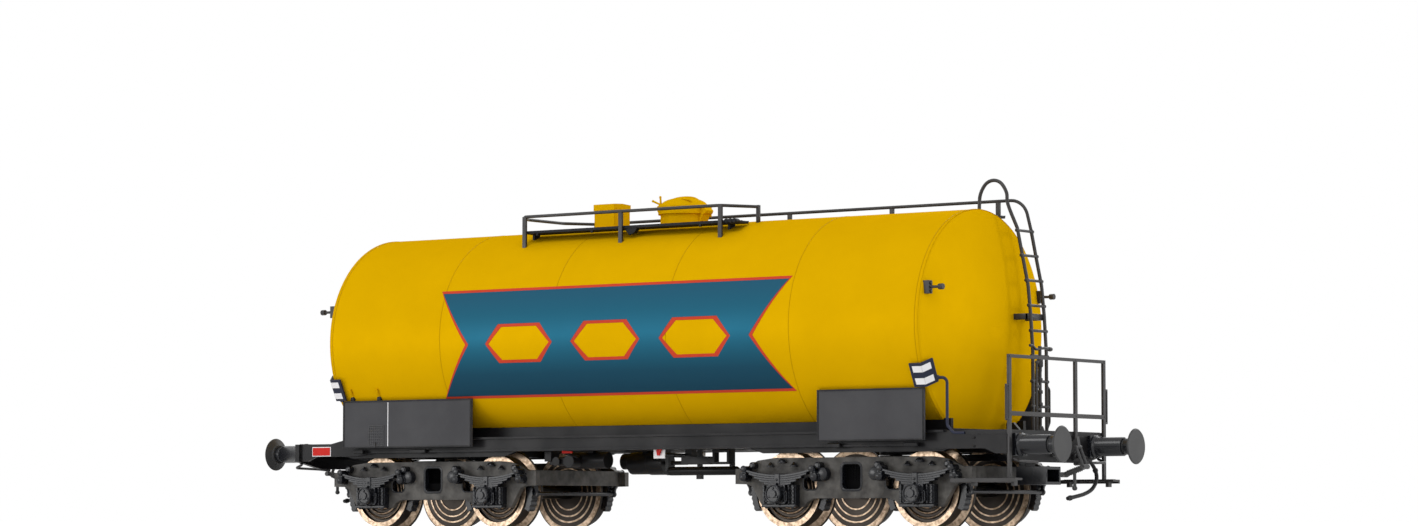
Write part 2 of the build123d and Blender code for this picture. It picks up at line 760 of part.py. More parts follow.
def axle():
    """An axle with a seat for each wheel and slim journals."""
    tip = GUIDE_FACE - JOURNAL_GAP
    half = [(0, tip), (JOURNAL_R, tip), (JOURNAL_R, HUB_FACE), (AXLE_SEAT_R, HUB_FACE),
            (AXLE_SEAT_R, WHEEL_BACK), (AXLE_R, WHEEL_BACK)]
    return Pos(0, 0, AXLE_Z) * turned(half + [(r, -y) for r, y in reversed(half)])


# Bogies, drawn about their own centre at the axles' level

def bogie_side(side):
    """A plate side frame with its three windows and axle holes."""
    axle_x = WHEELBASE / 2
    half = [(axle_x + x, z) for x, z in FRAME_END]
    half += [(FRAME_HALF, TAB_TOP), (FRAME_HALF, TAB_BOTTOM)]
    half += [(axle_x + x, z) for x, z in FRAME_FOOT]
    y = across(side, FRAME_INNER, FRAME_OUT)
    through = (y[0] - FRAME_T, y[1] + FRAME_T)
    plate = upright_plate(half + [(-x, z) for x, z in reversed(half)], y)
    inner, outer = (axle_x + x for x in SIDE_WINDOW_X)
    windows = [(about(0, WINDOW_W), WINDOW_Z)]
    windows += [(across(end, inner, outer), SIDE_WINDOW_Z) for end in SIDES]
    for x, z in windows:
        hole = block(x, through, z)
        plate -= chamfer(hole.edges().filter_by(Axis.Y), WINDOW_CORNER)
    for end in SIDES:
        plate -= rod((end * axle_x, through[0], 0), (end * axle_x, through[1], 0), JOURNAL_R + JOURNAL_GAP)
    return plate


def bogie_frame():
    """Both side frames, the middle transom with its pivot hole and the two end beams."""
    y = (-FRAME_INNER, FRAME_INNER)
    pad = TRANSOM_TOP + PIVOT_PAD
    frame = bogie_side(-1) + bogie_side(1)
    frame += block((-TRANSOM_HALF, TRANSOM_HALF), y, (TRANSOM_BOTTOM, TRANSOM_TOP))
    frame += rod((0, 0, TRANSOM_TOP), (0, 0, pad), PIVOT_PAD_R)
    for side in SIDES:
        frame += block(across(side, BEAM_IN, BEAM_IN + BEAM_T), y, (BEAM_BOTTOM, BEAM_TOP))
    return frame - rod((0, 0, 0), (0, 0, 2 * pad), PIVOT_PIN_R + PIN_GAP)


def spring_leaf(half, top, sag, y):
    """One bowed leaf, lower in its middle than at its ends."""
    tips = [(end * half, y[0], top + sag) for end in SIDES]
    feet = [(end * half, y[0], top + sag - LEAF_T) for end in SIDES]
    outline = [ThreePointArc(tips[0], (0, y[0], top), tips[1]), Line(tips[1], feet[1]),
               ThreePointArc(feet[1], (0, y[0], top - LEAF_T), feet[0]), Line(feet[0], tips[0])]
    return extrude(make_face(outline), amount=y[1] - y[0], dir=(0, 1, 0))


def spring_stops():
    """Three pointed stops on the side frame over the spring's middle; the middle one stands higher."""
    base = SPRING_EYE_Z + STOP_GAP
    stops = []
    for i in (-1, 0, 1):
        x = i * STOP_PITCH
        z = base if i else base + STOP_RISE
        outline = [(x - STOP_HALF, z), (x, z + STOP_H), (x + STOP_HALF, z)]
        stops.append(upright_plate(outline, (FRAME_OUT, FRAME_OUT + STOP_OUT)))
    return stops


def spring_pack():
    """Leaves of falling length with their buckle, eyes and shackles, over one axlebox."""
    top = SPRING_EYE_Z - SPRING_SAG
    inner = FRAME_OUT + SPRING_OUT
    y = (inner, inner + SPRING_W)
    pack = spring_leaf(SPRING_HALF, top, SPRING_SAG, y)
    for i in range(1, LEAVES):
        half = SPRING_HALF * (1 - i / LEAVES)
        pack += spring_leaf(half, top - i * LEAF_T, SPRING_SAG * (half / SPRING_HALF) ** 2, y)
    pack += block(about(0, BUCKLE_W), (FRAME_OUT, y[1] + BUCKLE_LAP), (AXLEBOX_TOP, top + BUCKLE_LAP))
    for end in SIDES:
        x = end * SPRING_HALF
        foot = x + end * SHACKLE_LEAN
        low = SPRING_EYE_Z - SHACKLE_L
        half = SHACKLE_W / 2
        pack += bar((x, FRAME_OUT, SPRING_EYE_Z), (x, y[1] + BUCKLE_LAP, SPRING_EYE_Z), EYE_R)
        pack += bar((foot, FRAME_OUT, low), (foot, y[1], low), SHACKLE_R)
        pack += upright_plate([(x - half, SPRING_EYE_Z), (x + half, SPRING_EYE_Z), (foot + half, low),
                               (foot - half, low)], (FRAME_OUT, inner + SPRING_W / 2))
    return pack


def axlebox():
    """A box with a round bossed cover, between two ribbed guides."""
    face = FRAME_OUT + AXLEBOX_OUT
    box = block((-AXLEBOX_HALF, AXLEBOX_HALF), (FRAME_OUT, face), (AXLEBOX_BOTTOM, AXLEBOX_TOP))
    box += rod((0, face, COVER_Z), (0, face + COVER_T, COVER_Z), COVER_R)
    box += bar((0, face + COVER_T, COVER_Z), (0, face + COVER_T + COVER_BOSS, COVER_Z), COVER_BOSS_R)
    for end in SIDES:
        x = across(end, AXLEBOX_HALF, AXLEBOX_HALF + GUIDE_W)
        box += block(x, (FRAME_OUT, GUIDE_FACE), (AXLEBOX_BOTTOM, AXLEBOX_TOP))
        for middle in (x[0] + GUIDE_RIB, x[1] - GUIDE_RIB):
            box += block(about(middle, GUIDE_RIB), (GUIDE_FACE, GUIDE_FACE + GUIDE_RIB_OUT),
                         (AXLEBOX_BOTTOM, AXLEBOX_TOP))
    return box - rod((0, FRAME_OUT, 0), (0, GUIDE_FACE, 0), JOURNAL_R + JOURNAL_GAP)


def four_corners(pieces):
    """Copies of pieces made for the far side, over every axle end of a bogie."""
    copies = []
    for piece in pieces:
        for one in (piece, mirror(piece, about=Plane.XZ)):
            copies += [Pos(end * WHEELBASE / 2, 0, 0) * one for end in SIDES]
    return copies


def brake_shoe(toward, side):
    """A curved shoe beside a wheel centred on the origin, on its side towards +X or -X."""
    inner = TREAD_R + SHOE_GAP
    outer = inner + SHOE_T
    top = radians(SHOE_TOP_ANGLE)
    low = radians(SHOE_TOP_ANGLE - SHOE_ARC)
    mid = (top + low) / 2
    y = across(side, WHEEL_BACK + FLANGE_WIDTH + SHOE_BACK, WHEEL_FACE - SHOE_IN)

    def at(radius, angle):
        return (toward * radius * cos(angle), y[0], radius * sin(angle))

    face = make_face([ThreePointArc(at(inner, top), at(inner, mid), at(inner, low)),
                      Line(at(inner, low), at(outer, low)),
                      ThreePointArc(at(outer, low), at(outer, mid), at(outer, top)),
                      Line(at(outer, top), at(inner, top))])
    return extrude(face, amount=y[1] - y[0], dir=(0, 1, 0))


def brake_pair(end, toward):
    """The two shoes on one side of an axle, their beam and the hangers up to the frame."""
    axle_x = end * WHEELBASE / 2
    middle = (WHEEL_BACK + FLANGE_WIDTH + SHOE_BACK + WHEEL_FACE - SHOE_IN) / 2
    reach = FLANGE_R + BEAM_R + SHOE_GAP
    x = axle_x + toward * reach * cos(radians(BEAM_ANGLE))
    level = -reach * sin(radians(BEAM_ANGLE))
    outer = abs(x) > WHEELBASE / 2
    head = BEAM_BOTTOM if outer else TRANSOM_BOTTOM
    hang_x = end * (BEAM_IN + BEAM_T / 2) if outer else end * (TRANSOM_HALF - HANGER / 2)
    half = HANGER / 2
    hanger = [(x - half, level), (x + half, level), (hang_x + half, head), (hang_x - half, head)]
    pair = bar((x, -middle, level), (x, middle, level), BEAM_R)
    for side in SIDES:
        pair += Pos(axle_x, 0, 0) * brake_shoe(toward, side)
        pair += upright_plate(hanger, about(side * middle, HANGER))
    return pair


# Roof

def manhole_neck():
    """The round neck that stands on the tank, with its rim."""
    neck = rod((MANHOLE_X, 0, TANK_TOP - NECK_ROOT), (MANHOLE_X, 0, NECK_TOP), NECK_R)
    neck += rod((MANHOLE_X, 0, NECK_TOP), (MANHOLE_X, 0, RIM_TOP), RIM_R)
    return neck - barrel()


def swing_bolt():
    """An upright bolt with a wing nut at the lid's edge."""
    x = NECK_R
    bolt = bar((x, 0, 0), (x, 0, BOLT_H), BOLT_R)
    return bolt + bar((x, -WING_HALF, BOLT_H), (x, WING_HALF, BOLT_H), WING_R)


def manhole_lid():
    """A domed lid with a lifting handle and its swing bolts."""
    crown = cap_line(0, LID_RISE, NECK_R + LID_FLAT * RIM_OVER)
    back = Polyline(crown @ 1, (0, 0), (LID_RISE, 0))
    lid = Rot(0, -90, 0) * revolve(make_face(crown.edges() + back.edges()), axis=Axis.X)
    for i in range(BOLTS):
        lid += Rot(0, 0, BOLT_TURN + 360 * i / BOLTS) * swing_bolt()
    top = LID_RISE + HANDLE_RISE
    lid += wire([(0, -HANDLE_HALF, LID_RISE / 2), (0, -HANDLE_HALF, top), (0, HANDLE_HALF, top),
                 (0, HANDLE_HALF, LID_RISE / 2)], HANDLE_R)
    return Pos(MANHOLE_X, 0, RIM_TOP) * lid


def valve_box():
    """A square box with a deep lid that is slightly wider and ridged."""
    body = block(about(BOX_X, BOX_L), about(0, BOX_W), (TANK_TOP - NECK_ROOT, BOX_TOP - BOX_LID))
    x = about(BOX_X, BOX_L + 2 * BOX_LID_OVER)
    half = BOX_W / 2 + BOX_LID_OVER
    low = BOX_TOP - BOX_LID
    eaves = BOX_TOP - BOX_RIDGE
    outline = [(-half, low), (half, low), (half, eaves), (0, BOX_TOP), (-half, eaves)]
    face = make_face(Polyline(*[(x[0], y, z) for y, z in outline], close=True))
    return body + extrude(face, amount=x[1] - x[0], dir=(1, 0, 0)) - barrel()


def post_places():
    """The railing's posts as (side, x): all along the far side, the first three on the near side."""
    places = [(1, POST_FIRST + POST_PITCH * i) for i in range(POST_SPACES + 1)]
    return places + [(-1, x) for side, x in places if x < LAST_NEAR_POST + POST_W]


def roof_walkway():
    """Two planks beside the manhole joined by bridges, and the plank to the ladder, on brackets."""
    level = (WALKWAY_TOP - WALKWAY_T, WALKWAY_TOP)
    near = RAIL_NEAR - POST_T / 2 - SEAT_GAP
    far = RAIL_FAR - POST_T / 2 - SEAT_GAP
    left = POST_FIRST - WALKWAY_ENDS[0]
    right = LAST_NEAR_POST + WALKWAY_ENDS[1]
    deck = block((left, right), (-near, -PLANK_INNER), level)
    deck += block((left, BARREL_RIGHT - PLANK_SETBACK), (PLANK_INNER, far), level)
    for x in (left, left + BRIDGE_INSET[0], right - BRIDGE_INSET[1], right - BRIDGE_W):
        deck += block((x, x + BRIDGE_W), (-near, far), (level[0], TANK_TOP + BRIDGE_RISE))
    inner = PLANK_INNER + BRACKET_IN
    bracket_z = (TANK_TOP - BRACKET_DEPTH, level[0])
    for side, x in post_places():
        deck += block(about(x, BRACKET_W), across(side, inner, inner + BRACKET_T), bracket_z)
    return deck - barrel()


def roof_railing():
    """One bent rail round the walkway that runs on along the tank to the ladder, with its posts."""
    bow = POST_FIRST - RAIL_BOW
    gate = LAST_NEAR_POST + GATE_X
    down = [BARREL_RIGHT + x for x in RAIL_DROP_X]
    loop = [(gate, -GATE_Y, RAIL_Z), (LAST_NEAR_POST, -RAIL_NEAR, RAIL_Z), (POST_FIRST, -RAIL_NEAR, RAIL_Z),
            (bow, -RAIL_NEAR / 2, RAIL_Z), (bow, RAIL_FAR / 2, RAIL_Z), (POST_FIRST, RAIL_FAR, RAIL_Z),
            (down[0], RAIL_FAR, RAIL_Z), (down[1], RAIL_FAR, RAIL_Z - RAIL_DROP),
            (TANK_TIP + LADDER_BENDS[-1][0], RAIL_FAR, LADDER_TOP)]
    rail = wire(loop, RAIL_R)
    for side, x in post_places():
        y = RAIL_FAR if side > 0 else RAIL_NEAR
        rail += block(about(x, POST_W), about(side * y, POST_T), (tank_height(y) - POST_ROOT, RAIL_Z))
    gate_z = (tank_height(GATE_Y) - POST_ROOT, RAIL_Z + RAIL_R)
    return rail + block(about(gate, GATE_W), about(-GATE_Y, GATE_W), gate_z) - barrel()


# Ladder

def ladder_line():
    """The ladder's side view from the deck to its top, as (x, z)."""
    bends = [(TANK_TIP + x, TANK_TOP + z) for x, z in LADDER_BENDS]
    return [(bends[0][0], DECK_TOP)] + bends


def ladder_x(z):
    """Where the ladder's line stands at a height."""
    line = ladder_line()
    for (x0, z0), (x1, z1) in zip(line, line[1:]):
        if z <= z1:
            return x0 + (x1 - x0) * (z - z0) / (z1 - z0)
    return line[-1][0]


def ladder_stay():
    """A flat bar behind the ladder with two legs to the tank's end."""
    near, far = LADDER_Y
    z = TANK_Z + STAY_RISE
    x = ladder_x(z) - LADDER_R
    bar_z = about(z, STAY_H)
    y = (near - STAY_OVER, far + STAY_OVER)
    stay = block((x - STAY_T, x + LADDER_R / 2), y, bar_z)
    for leg in ((y[0], y[0] + STAY_LEG), (y[1] - STAY_LEG, y[1])):
        stay += block((BARREL_RIGHT, x), leg, bar_z)
    return stay


def end_ladder():
    """Two rails that follow the tank's end, with rungs, a hoop at the top, a grab handle and a stay."""
    near, far = LADDER_Y
    line = ladder_line()
    hoop = [(BARREL_RIGHT + x, TANK_TOP + z) for x, z in HOOP]
    ladder = wire([(x, near, z) for x, z in line + hoop], LADDER_R)
    ladder += wire([(x, far, z) for x, z in line], LADDER_R)
    for i in range(RUNGS):
        z = LADDER_TOP - RUNG_DROP - RUNG_PITCH * i
        ladder += bar((ladder_x(z), near, z), (ladder_x(z), far, z), RUNG_R)
    ladder += wire([(line[0][0], far + out * GRAB_OUT, DECK_TOP + z) for out, z in GRAB_POINTS], GRAB_R)
    return ladder + ladder_stay() - tank_end(1) - barrel()


# Platform end

def platform_railing():
    """A flat-bar railing on the headstock's face; its outer posts run down to the steps."""
    x = (HEADSTOCK_FACE, HEADSTOCK_FACE + RAILING_T)
    half = RAILING_POST_W / 2
    outer = SILL_EDGE - half - RAILING_INSET
    low = DECK_TOP + RAILING_LOW
    rail = block(x, (-outer - half, outer + half), (RAILING_TOP - RAILING_BAR, RAILING_TOP))
    rail += block(x, (-outer, outer), about(low, RAILING_LOW_BAR))
    for y, foot in ((-outer, STEP_TOP), (outer, STEP_TOP), (MID_POST_Y, SILL_BOTTOM - MID_POST_FOOT)):
        rail += block(x, about(y, RAILING_POST_W), (foot, RAILING_TOP))
    grab = (x[0] + x[1]) / 2
    bottom, top = (DECK_TOP + z for z in GRAB_IRON_Z)
    for side in SIDES:
        y = side * outer
        out = side * (outer + half + GRAB_IRON_OUT)
        rail += wire([(grab, y, top), (grab, out, top), (grab, out, bottom), (grab, y, bottom)], GRAB_R)
    return rail


def end_step(side):
    """A step plate with a folded lip and two lugs, under the railing's outer post."""
    x = (HEADSTOCK_FACE + STEP_OUT - STEP_L, HEADSTOCK_FACE + STEP_OUT)
    inner = SILL_EDGE - STEP_IN
    outer = SILL_EDGE + STEP_SIDE
    under = STEP_TOP - STEP_LIP
    plate = block(x, across(side, inner, outer), (STEP_TOP - STEP_T, STEP_TOP))
    plate += block((x[0] - STEP_LIP_OVER, x[1]), across(side, outer - STEP_LIP_T, outer), (under, STEP_TOP))
    for place in (x[0] + STEP_LUG_INSET, x[1] - STEP_LUG_INSET):
        lug_z = (under - STEP_LUG, STEP_TOP - STEP_T)
        plate += block(about(place, STEP_LUG), across(side, inner, SILL_EDGE), lug_z)
    return plate


def handbrake():
    """An upright spindle with a crank at its top, a bearing and a guard rod."""
    x = BRAKE_POST_X
    y = BRAKE_POST_Y
    top = CRANK_Z - BEARING_DROP + BEARING_H
    guard = y - GUARD_OUT
    guard_top = CRANK_Z - GUARD_DROP
    post = bar((x, y, DECK_TOP), (x, y, CRANK_Z), BRAKE_POST_R)
    post += bar((x, y, DECK_TOP), (x, y, DECK_TOP + BRAKE_FOOT), BRAKE_FOOT_R)
    post += bar((x, y, CRANK_Z - BEARING_DROP), (x, y, top), BEARING_R)
    post += bar((x, guard, DECK_TOP), (x, guard, guard_top), GUARD_R)
    post += block(about(x, 2 * BRAKE_POST_R), (guard - GUARD_R, y), (guard_top - 2 * GUARD_R, guard_top))
    tip = y + CRANK_L
    crank = [(x, y - CRANK_L, CRANK_Z + CRANK_LIFT), (x, guard, CRANK_Z), (x, tip, CRANK_Z)]
    post += wire(crank, CRANK_R)
    return post + bar((x, tip - KNOB_L / 2, CRANK_Z), (x, tip + KNOB_L / 2, CRANK_Z), KNOB_R)


# Sides

def board_face():
    """Where the boards' backs stand: clear of the tank and of the solebar's flange."""
    return max(tank_side(BOARD_TOP), SILL_EDGE) + BOARD_GAP


def side_board(x, side):
    """A blank board on two brackets off the solebar's flange."""
    back = board_face()
    bracket = across(side, SILL_EDGE, back)
    plate = block(x, across(side, back, back + BOARD_T), (BOARD_BOTTOM, BOARD_TOP))
    for end in (x[0] + BOARD_BRACKET_INSET, x[1] - BOARD_BRACKET_INSET):
        plate += block(about(end, BOARD_BRACKET_W), bracket, (SILL_TOP - SILL_FLANGE, SILL_TOP))
    return plate


def side_boards(start, length):
    """A board on the near side from one x on, and the same turned half round on the far side."""
    return [side_board((start, start + length), -1), side_board((-start - length, -start), 1)]


def folded_board():
    """Two leaves that meet at a fold, with the fold at the origin and y outwards from the tank."""
    fold = radians(MARKER_FOLD)
    tip = (MARKER_END_LEAF * cos(fold), -MARKER_END_LEAF * sin(fold))
    mitre = MARKER_T * (1 - cos(fold)) / sin(fold)
    back = [(-MARKER_LEAF, 0), (0, 0), tip]
    front = [(tip[0] + MARKER_T * sin(fold), tip[1] + MARKER_T * cos(fold)), (mitre, MARKER_T),
             (-MARKER_LEAF, MARKER_T)]
    return tip, back + front


def marker_board(side, hand):
    """A folded board along the tank's side and round its rim, on a bent rod or on a strap."""
    rim = (BARREL_RIGHT if side > 0 else -BARREL_LEFT) + MARKER_OUT
    middle = BOARD_TOP + MARKER_RISE
    lean = asin((TANK_Z - middle) / TANK_R)
    out = tank_side(middle) + MARKER_GAP / cos(lean)
    tip, outline = folded_board()
    place = Plane(origin=(rim, out, middle), x_dir=(1, 0, 0), z_dir=(0, -sin(lean), -cos(lean)))
    face = place * make_face(Polyline(*[(x, -y) for x, y in outline], close=True))
    board = extrude(face, amount=MARKER_H / 2, both=True)
    if side * hand < 0:
        start = place.from_local_coords((tip[0], -tip[1], MARKER_H / 2 - MARKER_CLAMP))
        x = rim + MARKER_ROD_X
        y = (SILL_INNER + SILL_OUTER) / 2
        board += wire([tuple(start), (x, y, start.Z), (x, y, sill_top(x - MARKER_ROD_R))], MARKER_ROD_R)
    else:
        back = board_face() + STRAP_IN
        reach = middle - MARKER_H / 2 * cos(lean) + STRAP_RISE
        board += block(about(rim - MARKER_LEAF / 2, STRAP_W), (back, back + STRAP_T), (BOARD_TOP, reach))
    return at_corner(board, side, hand)


def lamp_bracket(side, hand):
    """A lug on the tank's rim with an arm that points away from the tank."""
    rim = BARREL_RIGHT if side > 0 else -BARREL_LEFT
    z = TANK_Z + LAMP_RISE
    y = hand * sqrt((TANK_R - LAMP_INSET) ** 2 - LAMP_RISE ** 2)
    inner, outer = (rim + x for x in LAMP_LUG_X)
    tip = rim + LAMP_ARM
    lug = block((inner, outer), about(y, LAMP_LUG), about(z, LAMP_LUG_H))
    lug += bar((inner, y, z), (tip, y, z), LAMP_ARM_R)
    lug += bar((tip - LAMP_SOCKET / 2, y, z), (tip + LAMP_SOCKET / 2, y, z), LAMP_SOCKET_R)
    return at_end(lug, side) - tank_end(side) - barrel()


# Gear under the middle of the car

def brake_cylinder():
    """The main cylinder with its wider head and a strap to the cross-members."""
    z = SILL_BOTTOM - CYLINDER_DEPTH
    head = CYLINDER_X + CYLINDER_L
    end = head + CYLINDER_HEAD
    body = rod((CYLINDER_X, 0, z), (head, 0, z), CYLINDER_R)
    body += rod((head, 0, z), (end, 0, z), CYLINDER_HEAD_R)
    body += bar((end, 0, z), (end + PISTON_L, 0, z), PISTON_R)
    return body + block(about(-CROSS_PITCH, STRAP_L), about(0, CYLINDER_R), (z, SILL_BOTTOM))


def air_tanks():
    """Two air reservoirs on straps."""
    z = SILL_BOTTOM - AIR_TANK_DEPTH
    tanks = []
    for side in SIDES:
        y = side * AIR_TANK_Y
        one = rod((AIR_TANK_X, y, z), (AIR_TANK_X + AIR_TANK_L, y, z), AIR_TANK_R)
        tanks.append(one + block(about(-2 * CROSS_PITCH, STRAP_L), about(y, STRAP_L), (z, SILL_BOTTOM)))
    return tanks


def relay_valve():
    """A small valve with two flanged ends, hung from the first cross-member."""
    first = -(CROSS_COUNT - 1) / 2 * CROSS_PITCH
    z = SILL_BOTTOM - RELAY_Z
    body = block(about(first, CROSS_WIDTH), RELAY_Y, (z, SILL_BOTTOM))
    body += block((first, first + RELAY_FLANGES[-1][0]), (RELAY_Y[0] + RELAY_BODY, RELAY_Y[1] - RELAY_BODY),
                  about(z, 2 * RELAY_BODY))
    for x, radius in RELAY_FLANGES:
        body += rod((first + x, RELAY_Y[0], z), (first + x, RELAY_Y[1], z), radius)
    return body


def brake_valve():
    """A valve body and an open bracket beside it, hung from the cross-members."""
    z = (SILL_BOTTOM - VALVE_DEPTH[1], SILL_BOTTOM - VALVE_DEPTH[0])
    body = block(VALVE_X, VALVE_Y, z)
    body += block(about(CROSS_PITCH, CROSS_WIDTH), VALVE_Y, (z[1], SILL_BOTTOM))
    x = VALVE_FRAME_X
    t = VALVE_FRAME_T
    frame = block(x, VALVE_Y, (z[0], SILL_BOTTOM))
    frame -= block((x[0] + t, x[1] - t), (VALVE_Y[0] - t, VALVE_Y[1] + t), (z[0] + t, SILL_BOTTOM - t))
    return body + frame + block((VALVE_X[1], x[0]), VALVE_Y, about((z[0] + z[1]) / 2, 2 * t))


def linkage():
    """The beam of the brake linkage with its hangers and its drop."""
    z = (SILL_BOTTOM - LINKAGE_DEPTH[1], SILL_BOTTOM - LINKAGE_DEPTH[0])
    beam = block(LINKAGE_X, LINKAGE_Y, z)
    for i in (0, 1, 2):
        beam += block(about(i * CROSS_PITCH, CROSS_WIDTH / 2), LINKAGE_Y, (z[1], SILL_BOTTOM))
    drop, depth = LINKAGE_DROP
    return beam + block(about(CROSS_PITCH, drop), LINKAGE_Y, (z[0] - depth, z[0]))


def car_nodes(corners):
    """The car's own pieces."""
    return {
        "tank_barrel": [barrel()],
        "tank_ends": [tank_end(side) for side in SIDES],
        "tank_cradle": [tank_cradle()],
        "underframe": [underframe()],
        "end_deck": [end_deck()],
        "platform_railing": [platform_railing()],
        "end_steps": [end_step(side) for side in SIDES],
        "handbrake": [handbrake()],
        "buffer_housings": [buffer_housing(*corner) for corner in corners],
        "buffer_heads": [buffer_head(*corner) for corner in corners],
        "drawgear": [drawgear(side) for side in SIDES],
        "brake_hoses": [brake_hose(side) for side in SIDES],
        "shunter_grips": [shunter_grip(*corner) for corner in corners],
        "manhole_neck": [manhole_neck()],
        "manhole_lid": [manhole_lid()],
        "valve_box": [valve_box()],
        "roof_walkway": [roof_walkway()],
        "roof_railing": [roof_railing()],
        "end_ladder": [end_ladder()],
        "side_boards_long": side_boards(BARREL_LEFT + LONG_BOARD_INSET, LONG_BOARD_L),
        "side_boards_short": side_boards(BARREL_RIGHT - SHORT_BOARD_INSET - SHORT_BOARD_L, SHORT_BOARD_L),
        "marker_boards": [marker_board(*corner) for corner in corners],
        "lamp_brackets": [lamp_bracket(*corner) for corner in corners],
        "brake_cylinder": [brake_cylinder()],
        "air_tanks": air_tanks(),
        "brake_rigging": [relay_valve(), brake_valve(), linkage()],
    }


def build():
    """Every node of the car by name: the car's own pieces first, then bogies, couplers and wheelsets."""
    corners = [(side, hand) for side in SIDES for hand in SIDES]
    nodes = car_nodes(corners)
    springs = four_corners([spring_pack()] + spring_stops())
    boxes = four_corners([axlebox()])
    brakes = [brake_pair(end, toward) for end in SIDES for toward in SIDES]
    for side, name in ((-1, "left"), (1, "right")):
        place = Pos(side * BOGIE_X, 0, AXLE_Z)
        nodes[f"bogie_frame_{name}"] = [place * bogie_frame()]
        nodes[f"bogie_springs_{name}"] = [place * one for one in springs]
        nodes[f"axleboxes_{name}"] = [place * one for one in boxes]
        nodes[f"bogie_brakes_{name}"] = [place * one for one in brakes]
        nodes[f"coupler_{name}"] = [coupler(side)]
    for number, (side, end) in enumerate(corners, 1):
        place = Pos(side * BOGIE_X + end * WHEELBASE / 2, 0, 0)
        nodes[f"wheels_{number}"] = [place * wheel(hand) for hand in SIDES]
        nodes[f"axle_{number}"] = [place * axle()]
    return nodes


def save(nodes):
    """One file for each node."""
    os.makedirs("parts", exist_ok=True)
    for name, pieces in nodes.items():
        solids = [solid for piece in pieces for solid in piece.solids()]
        export_step(Compound(children=solids) if len(solids) > 1 else solids[0], f"parts/{name}.step")


save(build())
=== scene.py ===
"""Finishes, trim and studio for the model tank car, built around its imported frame.

Lengths are in millimetres of the row frame: X along the car with the ladder at +X, Y across it with the near
side at -Y, Z up from the wheel flanges. They become metres where a mesh is made.
"""

from __future__ import annotations

import json
import logging
import math
from collections.abc import Sequence
from dataclasses import dataclass, field
from enum import Enum

import bmesh
import bpy
from mathutils import Matrix, Vector

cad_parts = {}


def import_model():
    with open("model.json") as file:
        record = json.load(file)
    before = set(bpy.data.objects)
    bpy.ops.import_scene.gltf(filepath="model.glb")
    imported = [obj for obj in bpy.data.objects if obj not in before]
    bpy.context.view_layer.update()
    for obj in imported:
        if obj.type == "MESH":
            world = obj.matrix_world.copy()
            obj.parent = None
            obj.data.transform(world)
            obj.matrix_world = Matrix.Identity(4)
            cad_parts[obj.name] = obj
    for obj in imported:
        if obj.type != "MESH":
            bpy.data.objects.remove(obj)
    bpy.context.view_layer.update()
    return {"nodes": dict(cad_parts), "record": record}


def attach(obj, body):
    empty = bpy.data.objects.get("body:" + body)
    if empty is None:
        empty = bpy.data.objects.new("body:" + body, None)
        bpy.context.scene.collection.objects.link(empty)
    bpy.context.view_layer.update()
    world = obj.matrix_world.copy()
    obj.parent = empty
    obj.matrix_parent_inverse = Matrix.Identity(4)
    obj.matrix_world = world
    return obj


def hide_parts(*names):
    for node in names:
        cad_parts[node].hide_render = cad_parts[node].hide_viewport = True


LOG = logging.getLogger("tank_car")
MM = 0.001
SIDES = (-1, 1)
FLIP_X = Matrix.Diagonal((-1.0, 1.0, 1.0, 1.0))
FLIP_Y = Matrix.Diagonal((1.0, -1.0, 1.0, 1.0))
HALF_TURN = Matrix.Rotation(math.pi, 4, "Z")

# Directions of the row frame, and the sizes that several sub-assemblies share
AHEAD = (1.0, 0.0, 0.0)
ACROSS = (0.0, 1.0, 0.0)
UP = (0.0, 0.0, 1.0)
TANK_RADIUS = 16.47
TANK_AXIS_Z = 29.1
BEAM_FACE = 64.3
BOGIE_X = 37.93
HALF_BASE = 11.495
AXLE_Z = 6.3

# Edges flatter than this many degrees are shaded smooth: on bars, and on the strips round the tank
BAR_SMOOTH = 50.0
HOOP_SMOOTH = 60.0

Point = tuple[float, float, float]
Flat = tuple[float, float]
Colour = tuple[float, float, float]
Socket = bpy.types.NodeSocket


class Slot(Enum):
    """The record's material slots."""

    TANK = "tank_yellow"
    FRAME = "frame_black"
    BOGIE = "bogie_black"
    WHEEL = "wheel_bronze"
    AXLE = "axle_steel"
    BUFFER = "buffer_metal"
    RAIL = "rail_metal"
    BOARD = "board_grey"
    MARKER = "marker_white"
    WALKWAY = "walkway_grey"
    DECK = "deck_grey"


class Paint(Enum):
    """Finishes beyond the record's slots: the painted trim's, the bogie frames' two-tone plate with its
    painted sheen, and a flat black of painted shade.
    """

    TEAL = "teal band"
    EDGING = "red edging"
    SEAM = "seam line"
    WHITE = "white paint"
    RED = "red enamel"
    CLIP = "clip grey"
    PLATE = "frame plate with painted sheen"
    DEEP = "deep shadow"


# Node trees


